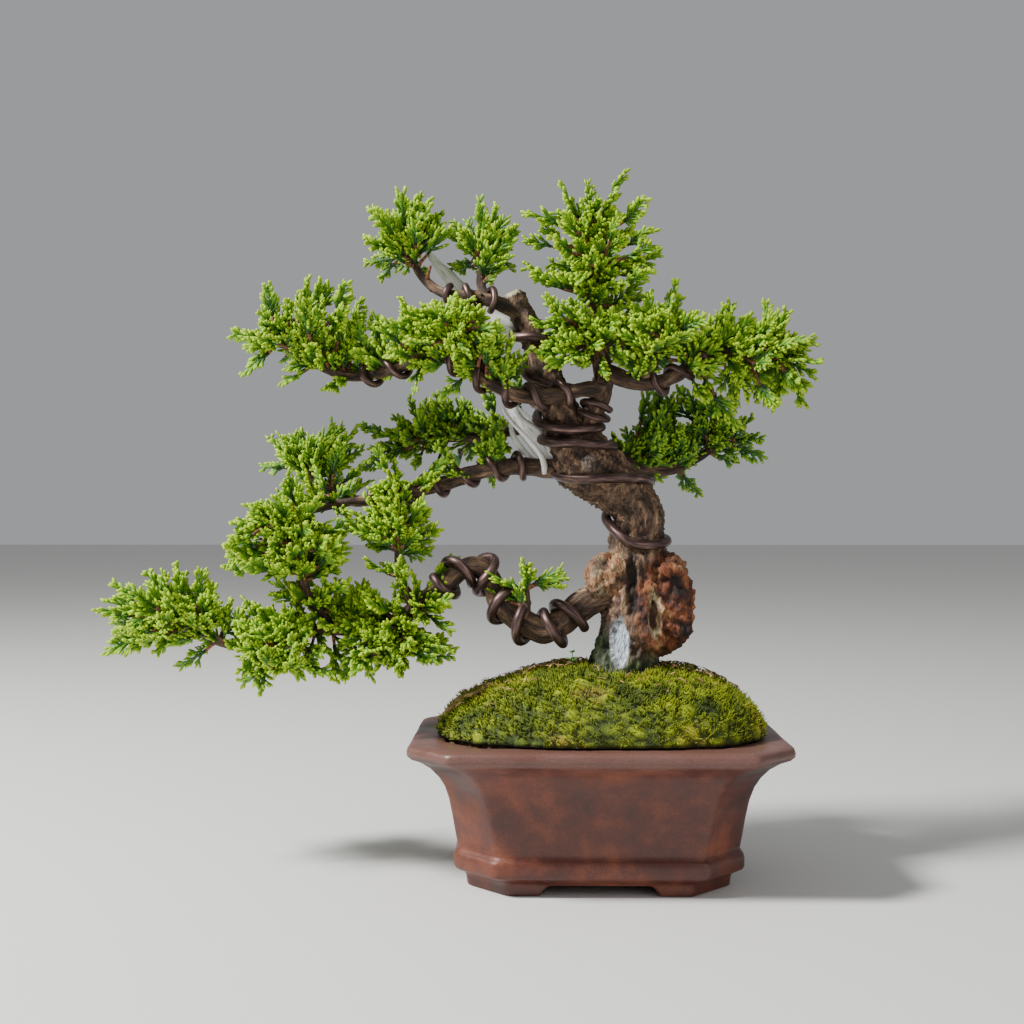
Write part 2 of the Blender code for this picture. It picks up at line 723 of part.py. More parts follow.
clear_scene()
STONEWARE = finish("unglazed stoneware", (0.24, 0.095, 0.055), 0.55)
MESH_PLASTIC = finish("mesh plastic", (0.02, 0.02, 0.02), 0.5)
SOIL = finish("akadama soil", (0.16, 0.09, 0.05), 0.95)
MOSS = finish("moss", (0.16, 0.22, 0.01), 0.95)
BARK = finish("juniper bark", (0.12, 0.065, 0.04), 0.85)
DEADWOOD = finish("stripped deadwood", (0.75, 0.73, 0.68), 0.7)
WIRE = finish("anodised aluminium wire", (0.10, 0.06, 0.05), 0.35, 1.0)
FOLIAGE = finish("juniper foliage", (0.16, 0.34, 0.03), 0.6)

make_pot()
make_drain_cover("left", -DRAIN_AT)
make_drain_cover("right", DRAIN_AT)
TRUNK = make_trunk()
make_soil(TRUNK)
make_moss(TRUNK)
make_branches(TRUNK)
make_wires()
make_foliage()
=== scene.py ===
"""A small trained juniper in an unglazed stoneware pot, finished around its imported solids."""

import math

import bmesh
import bpy
import numpy as np
from mathutils import Matrix, Vector, noise


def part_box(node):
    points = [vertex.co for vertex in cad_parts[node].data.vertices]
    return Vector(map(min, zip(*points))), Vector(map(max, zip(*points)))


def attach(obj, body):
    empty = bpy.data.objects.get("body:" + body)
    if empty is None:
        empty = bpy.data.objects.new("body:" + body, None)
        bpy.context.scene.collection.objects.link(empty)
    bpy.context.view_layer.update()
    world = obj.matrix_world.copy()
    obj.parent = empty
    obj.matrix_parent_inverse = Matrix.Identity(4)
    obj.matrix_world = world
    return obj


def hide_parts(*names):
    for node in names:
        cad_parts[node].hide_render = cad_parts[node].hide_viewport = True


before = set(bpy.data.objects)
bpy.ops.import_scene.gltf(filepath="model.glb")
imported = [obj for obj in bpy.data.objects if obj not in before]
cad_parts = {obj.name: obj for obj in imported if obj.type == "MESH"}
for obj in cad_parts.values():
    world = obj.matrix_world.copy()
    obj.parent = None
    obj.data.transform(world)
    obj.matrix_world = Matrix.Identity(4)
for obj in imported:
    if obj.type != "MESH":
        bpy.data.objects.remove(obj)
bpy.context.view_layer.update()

# Studio -----------------------------------------------------------------------------------
# A pale matt table under one broad soft lamp at the upper left, with a weak fill from the
# right. All lengths here are metres.
TABLE_SIZE = 8.0
TABLE_COLOUR = "#D9D8D4"
SKY_COLOUR = "#DCDEE0"
SKY_STRENGTH = 0.5


def colour_of(hex_code):
    """A linear RGBA colour from an sRGB hex code."""
    channels = [int(hex_code[i : i + 2], 16) / 255 for i in (1, 3, 5)]
    linear = [c / 12.92 if c <= 0.04045 else ((c + 0.055) / 1.055) ** 2.4 for c in channels]
    return (*linear, 1.0)


def add_node(material, kind, settings=None, stops=None, **inputs):
    """A shader node with its settings, and each input set to a value or linked to a socket."""
    tree = material.node_tree
    node = tree.nodes.new("ShaderNode" + kind)
    for name, value in (settings or {}).items():
        setattr(node, name, value)
    if stops:
        while len(node.color_ramp.elements) < len(stops):
            node.color_ramp.elements.new(1.0)
        for element, (position, hex_code) in zip(node.color_ramp.elements, stops):
            element.position = position
            element.color = colour_of(hex_code)
    for name, value in inputs.items():
        socket = node.inputs[name.replace("_", " ")]
        if isinstance(value, bpy.types.NodeSocket):
            tree.links.new(value, socket)
        else:
            socket.default_value = value
    return node


def new_material(name):
    """A material with a Principled shader, and the shader."""
    material = bpy.data.materials.new(name)
    material.use_nodes = True
    return material, material.node_tree.nodes["Principled BSDF"]


def wire_up(material, shader, **inputs):
    """Sets or links the shader's own inputs."""
    for name, value in inputs.items():
        socket = shader.inputs[name.replace("_", " ")]
        if isinstance(value, bpy.types.NodeSocket):
            material.node_tree.links.new(value, socket)
        else:
            socket.default_value = value


bpy.ops.mesh.primitive_plane_add(size=TABLE_SIZE)
table = bpy.context.object
table.name = "table"
table_paint, shader = new_material("matt painted board")
wire_up(table_paint, shader, Base_Color=colour_of(TABLE_COLOUR), Roughness=0.85)
table.data.materials.append(table_paint)

world = bpy.data.worlds.new("soft room")
bpy.context.scene.world = world
world.use_nodes = True
world.node_tree.nodes["Background"].inputs["Color"].default_value = colour_of(SKY_COLOUR)
world.node_tree.nodes["Background"].inputs["Strength"].default_value = SKY_STRENGTH


def soft_lamp(name, place, size, watts, aim):
    lamp = bpy.data.objects.new(name, bpy.data.lights.new(name, "AREA"))
    lamp.data.size = size
    lamp.data.energy = watts
    lamp.location = place
    lamp.rotation_euler = (Vector(aim) - Vector(place)).to_track_quat("-Z", "Y").to_euler()
    bpy.context.scene.collection.objects.link(lamp)


soft_lamp("key_lamp", (-0.62, -0.26, 0.72), 0.16, 21.0, (0.0, 0.0, 0.09))
soft_lamp("fill_lamp", (0.7, -0.8, 0.5), 0.8, 2.5, (0.0, 0.0, 0.09))

# Camera: level, a little under half a metre in front of the pot, turned a touch to its left.
CAMERA_FROM_POT = (-0.0162, -0.3993, 0.0985)
CAMERA_TURN = math.radians(0.98)
CAMERA_LENS_MM = 51.5
pot_low, pot_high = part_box("pot")
POT_X = (pot_low[0] + pot_high[0]) / 2
POT_Y = (pot_low[1] + pot_high[1]) / 2
camera = bpy.data.objects.new("camera", bpy.data.cameras.new("camera"))
camera.data.lens = CAMERA_LENS_MM
camera.data.sensor_width = 36.0
camera.location = (POT_X + CAMERA_FROM_POT[0], POT_Y + CAMERA_FROM_POT[1], CAMERA_FROM_POT[2])
camera.rotation_euler = (math.pi / 2, 0.0, CAMERA_TURN)
bpy.context.scene.collection.objects.link(camera)
bpy.context.scene.camera = camera

# Pot --------------------------------------------------------------------------------------
# Unglazed reddish-brown stoneware, pressed in a mould and fired: a rectangle with cut corners
# that flares to a thick lip, on a stepped band and four low bracket feet. Below, lengths are
# millimetres from the pot's middle on the table.
MM = 0.001
HALF_WIDTH = (pot_high[0] - pot_low[0]) / 2 / MM
DEPTH_LESS = HALF_WIDTH - (pot_high[1] - pot_low[1]) / 2 / MM
POT_TOP = pot_high[2] / MM
CORNER_CUT = (10.8, 12.0)
CORNER_ROUND = 1.3
UNDERSIDE = 3.1
FLOOR_TOP = 8.0
POT_PROFILE = [
    (0.0, UNDERSIDE, 1),
    (28.6, UNDERSIDE, 8),
    (29.2, 0.3, 3),
    (29.8, 0.0, 1),
    (34.2, 0.0, 3),
    (34.7, 0.3, 1),
    (35.0, 2.8, 3),
    (35.4, 3.5, 2),
    (36.9, 4.5, 3),
    (37.8, 5.2, 3),
    (38.1, 6.0, 2),
    (38.1, 8.4, 3),
    (37.9, 9.2, 2),
    (37.3, 9.9, 2),
    (37.0, 10.6, 2),
    (37.5, 13.5, 3),
    (38.3, 18.3, 4),
    (39.3, 23.5, 4),
    (40.4, 27.0, 3),
    (41.9, 29.7, 3),
    (43.9, 32.2, 3),
    (46.4, 34.2, 3),
    (48.5, 35.3, 3),
    (HALF_WIDTH - 0.1, 36.3, 3),
    (HALF_WIDTH, 37.3, 2),
    (HALF_WIDTH - 0.3, 38.4, 2),
    (HALF_WIDTH - 1.3, POT_TOP, 2),
    (41.2, POT_TOP, 5),
    (40.2, 38.5, 2),
    (39.7, 37.6, 2),
    (38.4, 33.0, 3),
    (36.5, 28.0, 2),
    (34.8, 20.0, 2),
    (33.9, 12.0, 2),
    (33.5, FLOOR_TOP, 2),
    (0.0, FLOOR_TOP, 6),
]
FRONT_RECESS = (15.8, 13.1)  # half its length at the table and at its top
SIDE_RECESS = (10.5, 8.0)
RECESS_TOP = 2.9
DRAIN_AT = 17.0
DRAIN_RADIUS = 4.5


def at(x, y, z):
    """A world point in metres, from millimetres measured from the pot's middle."""
    return Vector((POT_X + x * MM, POT_Y + y * MM, z * MM))


def object_of(name, bm, *materials):
    mesh = bpy.data.meshes.new(name)
    bm.to_mesh(mesh)
    bm.free()
    mesh.shade_smooth()
    for material in materials:
        mesh.materials.append(material)
    obj = bpy.data.objects.new(name, mesh)
    bpy.context.scene.collection.objects.link(obj)
    return obj


def stand_for(obj, node):
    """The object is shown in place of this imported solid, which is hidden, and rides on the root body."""
    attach(obj, "root")
    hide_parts(node)


def cut_rectangle(half_width, half_depth):
    """Points round a rectangle with cut corners, anticlockwise, each corner slightly rounded."""
    share = min(1.0, half_depth / 20.0)
    inner_x, inner_y = half_width - CORNER_CUT[0] * share, half_depth - CORNER_CUT[1] * share
    corners = [(half_width, -inner_y), (half_width, inner_y), (inner_x, half_depth)]
    corners += [(-inner_x, half_depth), (-half_width, inner_y), (-half_width, -inner_y)]
    corners += [(-inner_x, -half_depth), (inner_x, -half_depth)]
    corners = [Vector(corner) for corner in corners]
    pieces_by_side = (18, 7, 26, 7) * 2
    points = []
    for i, corner in enumerate(corners):
        after = corners[(i + 1) % 8]
        before_edge = (corner - corners[i - 1]).normalized() * CORNER_ROUND * share
        after_edge = (after - corner).normalized() * CORNER_ROUND * share
        for t in (0.0, 0.33, 0.67, 1.0):
            points.append(corner - before_edge * (1 - t) ** 2 + after_edge * t**2)
        pieces = pieces_by_side[i]
        start, end = corner + after_edge, after - (after - corner).normalized() * CORNER_ROUND * share
        points += [start.lerp(end, k / pieces) for k in range(1, pieces)]
    return points


def smoothstep(low, high, value):
    t = min(1.0, max(0.0, (value - low) / (high - low)))
    return t * t * (3 - 2 * t)


def recess_share(x, y, half_width):
    """1 between two feet, 0 on a foot, and in between on the recess's sloped ends."""
    half_depth = half_width - DEPTH_LESS
    front = 1 - smoothstep(FRONT_RECESS[1], FRONT_RECESS[0], abs(x))
    side = 1 - smoothstep(SIDE_RECESS[1], SIDE_RECESS[0], abs(y))
    return front if half_depth - abs(y) < half_width - abs(x) else side


def make_pot_mesh():
    bm = bmesh.new()
    profile = [POT_PROFILE[0][:2]]
    for (r0, z0, _), (r1, z1, pieces) in zip(POT_PROFILE, POT_PROFILE[1:]):
        steps = [k / pieces for k in range(1, pieces + 1)]
        profile += [(r0 + (r1 - r0) * t, z0 + (z1 - z0) * t) for t in steps]
    rings = []
    for half_width, z in profile:
        if half_width - DEPTH_LESS < 1.5:
            continue
        ring = []
        for x, y in cut_rectangle(half_width, half_width - DEPTH_LESS):
            height = z
            if z < RECESS_TOP and 28.7 < half_width < 35.2:
                height = z + (RECESS_TOP - z) * recess_share(x, y, half_width)
            uneven = noise.noise(Vector((x, y, z * 1.5)) * 0.07) * 0.28
            uneven += noise.noise(Vector((x, y, z * 2.0)) * 0.35) * 0.06
            lean = uneven if half_width > 30 and z > 3.2 else 0.0
            out = Vector((x, y)).normalized() * lean * 0.6
            lip = uneven * 0.5 if half_width > 36 and z > 30 else 0.0
            ring.append(bm.verts.new(at(x + out.x, y + out.y, height + lip - max(0.0, lip))))
        rings.append(ring)
    for lower, upper in zip(rings, rings[1:]):
        for i in range(len(lower)):
            j = (i + 1) % len(lower)
            bm.faces.new((lower[i], lower[j], upper[j], upper[i]))
    bm.faces.new(list(reversed(rings[0])))
    bm.faces.new(rings[-1])
    return bm


def drain_cutter(x):
    bm = bmesh.new()
    bmesh.ops.create_cone(
        bm,
        cap_ends=True,
        segments=40,
        radius1=DRAIN_RADIUS * MM,
        radius2=DRAIN_RADIUS * MM,
        depth=12 * MM,
        matrix=Matrix.Translation(at(x, 0.0, 5.5)),
    )
    return object_of("drain_cutter", bm)


def apply_modifiers(obj):
    graph = bpy.context.evaluated_depsgraph_get()
    mesh = bpy.data.meshes.new_from_object(obj.evaluated_get(graph))
    obj.modifiers.clear()
    obj.data = mesh


# Stoneware: fine sandy grit in a fired iron-rich clay, paler where water and lime have dried
# on the lip and the band, darker where it is damp.
stoneware, shader = new_material("unglazed stoneware")
coords = add_node(stoneware, "TexCoord")
place = coords.outputs["Object"]
GRIT_MM = 0.35
CLOUD_MM = 14.0
clouds = add_node(
    stoneware, "TexNoise", Vector=place, Scale=1 / (CLOUD_MM * MM), Detail=6.0, Roughness=0.6
)
grit = add_node(stoneware, "TexNoise", Vector=place, Scale=1 / (GRIT_MM * MM), Detail=2.0)
height = add_node(stoneware, "SeparateXYZ", Vector=place)
clay = add_node(
    stoneware,
    "ValToRGB",
    Fac=clouds.outputs["Fac"],
    stops=((0.3, "#361610"), (0.5, "#5A291C"), (0.68, "#82442B")),
)
lip_wave = add_node(
    stoneware,
    "Math",
    {"operation": "MULTIPLY_ADD"},
)
stoneware.node_tree.links.new(clouds.outputs["Fac"], lip_wave.inputs[0])
lip_wave.inputs[1].default_value = 6 * MM
stoneware.node_tree.links.new(height.outputs["Z"], lip_wave.inputs[2])
lip_mask = add_node(
    stoneware,
    "MapRange",
    {"interpolation_type": "SMOOTHSTEP"},
    Value=lip_wave.outputs[0],
    From_Min=36.0 * MM,
    From_Max=41.0 * MM,
)
limed = add_node(
    stoneware,
    "MixRGB",
    Fac=lip_mask.outputs["Result"],
    Color1=clay.outputs["Color"],
    Color2=colour_of("#704C43"),
)
speckle = add_node(
    stoneware, "ValToRGB", Fac=grit.outputs["Fac"], stops=((0.3, "#8A8A8A"), (0.7, "#FFFFFF"))
)
fired = add_node(
    stoneware,
    "MixRGB",
    {"blend_type": "MULTIPLY"},
    Fac=0.6,
    Color1=limed.outputs["Color"],
    Color2=speckle.outputs["Color"],
)
damp = add_node(
    stoneware,
    "MapRange",
    Value=clouds.outputs["Fac"],
    From_Min=0.35,
    From_Max=0.65,
    To_Min=0.3,
    To_Max=0.55,
)
bump = add_node(
    stoneware, "Bump", Height=grit.outputs["Fac"], Strength=0.35, Distance=0.12 * MM
)
wire_up(
    stoneware,
    shader,
    Base_Color=fired.outputs["Color"],
    Roughness=damp.outputs["Result"],
    Normal=bump.outputs["Normal"],
)

pot = object_of("stoneware_pot", make_pot_mesh(), stoneware)
for x in (-DRAIN_AT, DRAIN_AT):
    cutter = drain_cutter(x)
    hole = pot.modifiers.new("drain", "BOOLEAN")
    hole.operation = "DIFFERENCE"
    hole.object = cutter
    apply_modifiers(pot)
    bpy.data.objects.remove(cutter)
pot.data.shade_smooth()
pot.data.set_sharp_from_angle(angle=math.radians(50))
stand_for(pot, "pot")

# Drainage covers --------------------------------------------------------------------------
# A square of black moulded polythene mesh laid over each drain hole inside the pot, to keep
# the soil in. A bent wire staple goes through it and the hole and holds it down. The soft
# plastic is half glossy, dulled in patches by handling.
polythene, shader = new_material("moulded polythene mesh")
coords = add_node(polythene, "TexCoord")
flecks = add_node(polythene, "TexNoise", Vector=coords.outputs["Object"], Scale=1 / (0.6 * MM))
tone = add_node(
    polythene, "ValToRGB", Fac=flecks.outputs["Fac"], stops=((0.3, "#101112"), (0.7, "#1D1F20"))
)
handled = add_node(polythene, "MapRange", Value=flecks.outputs["Fac"], To_Min=0.38, To_Max=0.62)
bump = add_node(polythene, "Bump", Height=flecks.outputs["Fac"], Distance=0.04 * MM)
wire_up(
    polythene,
    shader,
    Base_Color=tone.outputs["Color"],
    Roughness=handled.outputs["Result"],
    Normal=bump.outputs["Normal"],
)
for side in ("left", "right"):
    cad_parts[f"drainage_mesh_{side}"].data.materials.clear()
    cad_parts[f"drainage_mesh_{side}"].data.materials.append(polythene)

# Soil -------------------------------------------------------------------------------------
# Damp fired-clay granules of 1 to 3 mm, poured round the roots and heaped to the trunk. Each
# granule is tan and dusty on top, with painted shade darkening it towards the gaps between granules, where it is
# also damper.
SOIL_GRAIN_MM = 1.8
granules, shader = new_material("akadama granules")
coords = add_node(granules, "TexCoord")
cells = add_node(
    granules, "TexVoronoi", Vector=coords.outputs["Object"], Scale=1 / (SOIL_GRAIN_MM * MM)
)
# Painted shade: each granule's colour falls to near black towards the gaps between granules.
granule_tone_with_gap_shade = add_node(
    granules,
    "ValToRGB",
    Fac=cells.outputs["Distance"],
    stops=((0.1, "#7A5634"), (0.45, "#4A3320"), (0.8, "#1E140D")),
)
dusty_top = add_node(granules, "MapRange", Value=cells.outputs["Distance"], To_Min=0.98, To_Max=0.75)
bump = add_node(
    granules, "Bump", {"invert": True}, Height=cells.outputs["Distance"], Distance=0.8 * MM
)
wire_up(
    granules,
    shader,
    Base_Color=granule_tone_with_gap_shade.outputs["Color"],
    Roughness=dusty_top.outputs["Result"],
    Normal=bump.outputs["Normal"],
)
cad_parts["soil"].data.materials.clear()
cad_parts["soil"].data.materials.append(granules)

# Moss -------------------------------------------------------------------------------------
# A living cushion of short upright moss grown over the soil heap: soft lobes a few
# millimetres across, a pile of fine pointed shoots, and tan patches where it has dried.
MOSS_HALF = (43.8, 33.5)
MOSS_CENTRE_X = 1.2
MOSS_BASE = 39.3
MOSS_EDGE = 1.0
MOSS_RISE = 16.0
MOSS_SQUARENESS = 2.7
LOBE_MM = 4.2
LOBE_HEIGHT = 1.6
SHOOT_COUNT = 12800
SHOOT_LENGTH = (1.0, 2.1)
SHOOT_HALF_WIDTH = 0.24


def to_world(points):
    return points * MM + np.array((POT_X, POT_Y, 0.0))


def mesh_object(name, points, quads, materials, slots=None, values=None, flat_map=None):
    """An object from arrays: millimetre points, four-sided faces, named point values, a UV map."""
    mesh = bpy.data.meshes.new(name)
    mesh.vertices.add(len(points))
    mesh.vertices.foreach_set("co", to_world(points).astype(np.float32).ravel())
    mesh.loops.add(quads.size)
    mesh.loops.foreach_set("vertex_index", quads.ravel().astype(np.int32))
    mesh.polygons.add(len(quads))
    mesh.polygons.foreach_set("loop_start", np.arange(0, quads.size, 4, dtype=np.int32))
    if slots is not None:
        mesh.polygons.foreach_set("material_index", slots.astype(np.int32))
    mesh.update(calc_edges=True)
    mesh.shade_smooth()
    for key, value in (values or {}).items():
        kind = "FLOAT" if value.ndim == 1 else "FLOAT_VECTOR"
        attribute = mesh.attributes.new(key, kind, "POINT")
        field = "value" if value.ndim == 1 else "vector"
        attribute.data.foreach_set(field, value.astype(np.float32).ravel())
    if flat_map is not None:
        layer = mesh.uv_layers.new(name="OFBake")
        layer.data.foreach_set("uv", flat_map[quads.ravel()].astype(np.float32).ravel())
    for material in materials:
        mesh.materials.append(material)
    obj = bpy.data.objects.new(name, mesh)
    bpy.context.scene.collection.objects.link(obj)
    return obj


def joined(parts):
    """Several (points, quads, value, ...) made one, the quads renumbered."""
    starts = np.cumsum([0] + [len(part[0]) for part in parts[:-1]])
    quads = np.concatenate([part[1] + start for part, start in zip(parts, starts)])
    columns = [np.concatenate([part[i] for part in parts]) for i in range(2, len(parts[0]))]
    return (np.concatenate([part[0] for part in parts]), quads, *columns)


def moss_height(rho):
    return MOSS_BASE + MOSS_EDGE + MOSS_RISE * max(0.0, 1 - rho**3.2) ** 0.62


def moss_point(rho, turn):
    """A point on the cushion before its lobes, rho from 0 at the middle to 1 at the rim."""
    cos, sin = math.cos(turn), math.sin(turn)
    x = math.copysign(abs(cos) ** (2 / MOSS_SQUARENESS), cos)
    y = math.copysign(abs(sin) ** (2 / MOSS_SQUARENESS), sin)
    wander = 1 + 0.022 * noise.noise(Vector((cos * 3.1, sin * 3.1, 4.0))) * min(1, rho * 1.5)
    reach_x, reach_y = MOSS_HALF[0] * rho * wander, MOSS_HALF[1] * rho * wander
    sag = noise.noise(Vector((x * rho * 2.6, y * rho * 2.2, 9.0))) * 2.0 * (1 - rho)
    sag -= 2.6 * smoothstep(0.25, 0.75, -x * rho) * (1 - rho**4)
    return Vector((MOSS_CENTRE_X + reach_x * x, reach_y * y, moss_height(min(rho, 1.0)) + sag))


def lobe(point):
    """0 in the creases between moss lobes and 1 on their tops."""
    near = noise.voronoi(point / LOBE_MM)[0]
    return min(1.0, (near[1] - near[0]) * 1.6)


def make_moss():
    rings, around = 76, 260
    points, painted_crease_shade = [], []
    for i in range(rings):
        rho = 1 - (1 - (i + 0.6) / rings) ** 1.7
        for j in range(around):
            point = moss_point(rho, 2 * math.pi * j / around)
            nearer = moss_point(rho - 0.01, 2 * math.pi * j / around)
            slope = (point - nearer).normalized()
            out = Vector((-slope.z * slope.x, -slope.z * slope.y, slope.xy.length_squared))
            top = lobe(point)
            swell = LOBE_HEIGHT * (top**0.6 - 0.7)
            swell += 0.5 * noise.noise(point * 0.9) + 0.35 * noise.noise(point * 2.3)
            points.append(point + out.normalized() * swell * (1 - 0.5 * rho**8))
            # Painted shade: the creases between lobes are marked for darker colour.
            painted_crease_shade.append(1 - top)
    dome = np.array([point[:] for point in points])
    under = dome[-around:].copy()
    under[:, 2] = MOSS_BASE + 0.1
    inner = under * (0.9, 0.9, 1.0)
    middle = np.array((MOSS_CENTRE_X, 0.0, MOSS_BASE + 0.15))
    core = inner * 0.1 + middle * 0.9
    points = np.concatenate([core, inner, under, dome[::-1].reshape(rings, around, 3)[:, ::-1].reshape(-1, 3)])
    painted_crease_shade = np.concatenate([np.ones(3 * around), np.array(painted_crease_shade)[::-1].reshape(rings, around)[:, ::-1].ravel()])
    rows = len(points) // around
    index = np.arange(rows * around).reshape(rows, around)
    after = np.roll(index, -1, axis=1)
    bands = np.stack([index[:-1], after[:-1], after[1:], index[1:]], axis=-1).reshape(-1, 4)
    return points, bands, painted_crease_shade, around


def moss_shoots(rng):
    """Fine pointed shoots standing out of the cushion, each a thin four-sided spike."""
    points, quads, painted_crease_shade = [], [], []
    for i in range(SHOOT_COUNT):
        rho = rng.random() ** 0.5
        base = moss_point(rho, rng.random() * 2 * math.pi)
        top = lobe(base)
        base.z += LOBE_HEIGHT * (top**0.6 - 0.7) + 0.5 * noise.noise(base * 0.9) - 0.25
        out = Vector(((base.x - MOSS_CENTRE_X) * 0.012, base.y * 0.016, 0.9 - 0.4 * rho**6))
        lean = Vector(rng.normal(0, 0.33, 3))
        tip = base + (out + lean).normalized() * rng.uniform(*SHOOT_LENGTH)
        side = (tip - base).orthogonal().normalized() * SHOOT_HALF_WIDTH
        over = (tip - base).normalized().cross(side)
        corners = (base + side, base + over, base - side, base - over)
        ring = [corner[:] for corner in corners]
        ring += [(tip + (corner - base) * 0.2)[:] for corner in corners]
        start = len(points)
        points += ring
        cube = ((3, 2, 1, 0), (4, 5, 6, 7), (0, 1, 5, 4), (1, 2, 6, 5), (2, 3, 7, 6), (3, 0, 4, 7))
        quads += [[start + k for k in face] for face in cube]
        # Painted shade at each shoot's foot and painted light at its tip.
        painted_crease_shade += [0.9 - 0.5 * top] * 4 + [-0.25 - 0.35 * rng.random()] * 4
    return np.array(points), np.array(quads), np.array(painted_crease_shade)


# Moss: yellow-green, tan where dried out, with painted light and shade: lighter on lobe tops and shoot tips,
# nearly black-green in the creases and at the shoots' feet.
moss_paint, shader = new_material("living cushion moss")
coords = add_node(moss_paint, "TexCoord")
# Painted shade, read from the mesh: 1 in the creases and at shoot feet, 0 on lobe tops, below 0 at shoot tips.
painted_crease_shade = add_node(moss_paint, "Attribute", {"attribute_name": "painted_crease_shade"})
patch = add_node(
    moss_paint, "TexNoise", Vector=coords.outputs["Object"], Scale=1 / (9.0 * MM), Detail=4.0
)
fibre = add_node(
    moss_paint, "TexNoise", Vector=coords.outputs["Object"], Scale=1 / (0.5 * MM), Detail=2.0
)
green = add_node(
    moss_paint,
    "ValToRGB",
    Fac=patch.outputs["Fac"],
    stops=((0.32, "#5A6E08"), (0.46, "#8A9A0C"), (0.58, "#B0BE14"), (0.66, "#BDB43C"), (0.76, "#B5945A")),
)
# Painted shade: darkens the moss to black-green in the creases and at the shoots' feet, and leaves lobe tops and
# shoot tips at full brightness.
deep = add_node(
    moss_paint,
    "ValToRGB",
    Fac=painted_crease_shade.outputs["Fac"],
    stops=((0.0, "#FFFFFF"), (0.5, "#C8CC9C"), (1.0, "#4A5A20")),
)
shaded = add_node(
    moss_paint,
    "MixRGB",
    {"blend_type": "MULTIPLY"},
    Fac=1.0,
    Color1=green.outputs["Color"],
    Color2=deep.outputs["Color"],
)
flecked = add_node(
    moss_paint,
    "ValToRGB",
    Fac=fibre.outputs["Fac"],
    stops=((0.3, "#808070"), (0.7, "#FFFFFF")),
)
mossy = add_node(
    moss_paint,
    "MixRGB",
    {"blend_type": "MULTIPLY"},
    Fac=0.7,
    Color1=shaded.outputs["Color"],
    Color2=flecked.outputs["Color"],
)
pile = add_node(
    moss_paint, "MapRange", Value=fibre.outputs["Fac"], To_Min=0.7, To_Max=1.0
)
bump = add_node(moss_paint, "Bump", Height=fibre.outputs["Fac"], Distance=0.3 * MM)
wire_up(
    moss_paint,
    shader,
    Base_Color=mossy.outputs["Color"],
    Roughness=pile.outputs["Result"],
    Normal=bump.outputs["Normal"],
)

points, quads, painted_crease_shade, around = make_moss()
rows = len(points) // around
lids = [[0, k + 2, k + 1, k] for k in range(1, around - 2, 2)]
last = (rows - 1) * around
lids += [[last, last + k, last + k + 1, last + k + 2] for k in range(1, around - 2, 2)]
quads = np.concatenate([quads, np.array(lids)])
points, quads, painted_crease_shade = joined([(points, quads, painted_crease_shade), moss_shoots(np.random.default_rng(5))])
plan = (points[:, :2] - points[:, :2].min(0)) / np.ptp(points[:, :2], axis=0)
moss = mesh_object(
    "moss_cushion", points, quads, [moss_paint], values={"painted_crease_shade": painted_crease_shade}, flat_map=plan
)
stand_for(moss, "moss")

# Moss litter ------------------------------------------------------------------------------
# Loose bits on the moss: curled tan dead juniper fronds, dark root ends at its left edge, and
# a seedling with two pairs of leaves beside the trunk.
FROND_COUNT = 170
ROOT_BITS = ((-35.5, -6.0), (-33.0, -9.0), (-37.0, -4.0), (-31.0, -2.0), (-38.5, -10.0))
SEEDLING = (-6.8, -8.0)


def moss_top(x, y):
    """Height of the cushion at this point."""
    reach = ((abs(x - MOSS_CENTRE_X) / MOSS_HALF[0]) ** MOSS_SQUARENESS)
    reach += (abs(y) / MOSS_HALF[1]) ** MOSS_SQUARENESS
    rho = reach ** (1 / MOSS_SQUARENESS)
    turn = math.atan2(y / MOSS_HALF[1], (x - MOSS_CENTRE_X) / MOSS_HALF[0])
    return moss_point(rho, turn).z + 0.4


def litter_bar(stations, flat=1.0):
    """A short closed bar of four sides, for a scrap of frond, root or stem."""
    points = []
    for x, y, z, radius in stations:
        for u, v in ((1, 0), (0, 1), (-1, 0), (0, -1)):
            points.append((x + u * radius, y + v * radius * flat, z + 0.3 * v * radius))
    rows = np.arange(len(points)).reshape(-1, 4)
    after = np.roll(rows, -1, axis=1)
    quads = np.stack([rows[:-1], after[:-1], after[1:], rows[1:]], axis=-1).reshape(-1, 4)
    quads = np.concatenate([quads, [rows[0][::-1]], [rows[-1]]])
    return np.array(points), quads


# Dead scraps: dry, matt and tan where thin, darker where they are root or soil.
dry_scraps, shader = new_material("dead frond and root scraps")
coords = add_node(dry_scraps, "TexCoord")
mix = add_node(
    dry_scraps, "TexNoise", Vector=coords.outputs["Object"], Scale=1 / (5.0 * MM), Detail=4.0
)
tan = add_node(
    dry_scraps,
    "ValToRGB",
    Fac=mix.outputs["Fac"],
    stops=((0.35, "#3A2818"), (0.5, "#8A6A3A"), (0.65, "#C0A266")),
)
dusty = add_node(dry_scraps, "MapRange", Value=mix.outputs["Fac"], To_Min=0.75, To_Max=0.95)
bump = add_node(dry_scraps, "Bump", Height=mix.outputs["Fac"], Distance=0.2 * MM)
wire_up(
    dry_scraps,
    shader,
    Base_Color=tan.outputs["Color"],
    Roughness=dusty.outputs["Result"],
    Normal=bump.outputs["Normal"],
)
seedling_green, shader = new_material("seedling leaf")
coords = add_node(seedling_green, "TexCoord")
veins = add_node(
    seedling_green, "TexNoise", Vector=coords.outputs["Object"], Scale=1 / (0.4 * MM)
)
fresh = add_node(
    seedling_green,
    "ValToRGB",
    Fac=veins.outputs["Fac"],
    stops=((0.35, "#3E7A2C"), (0.65, "#6FA846")),
)
gloss = add_node(seedling_green, "MapRange", Value=veins.outputs["Fac"], To_Min=0.4, To_Max=0.6)
bump = add_node(seedling_green, "Bump", Height=veins.outputs["Fac"], Distance=0.05 * MM)
wire_up(
    seedling_green,
    shader,
    Base_Color=fresh.outputs["Color"],
    Roughness=gloss.outputs["Result"],
    Normal=bump.outputs["Normal"],
)

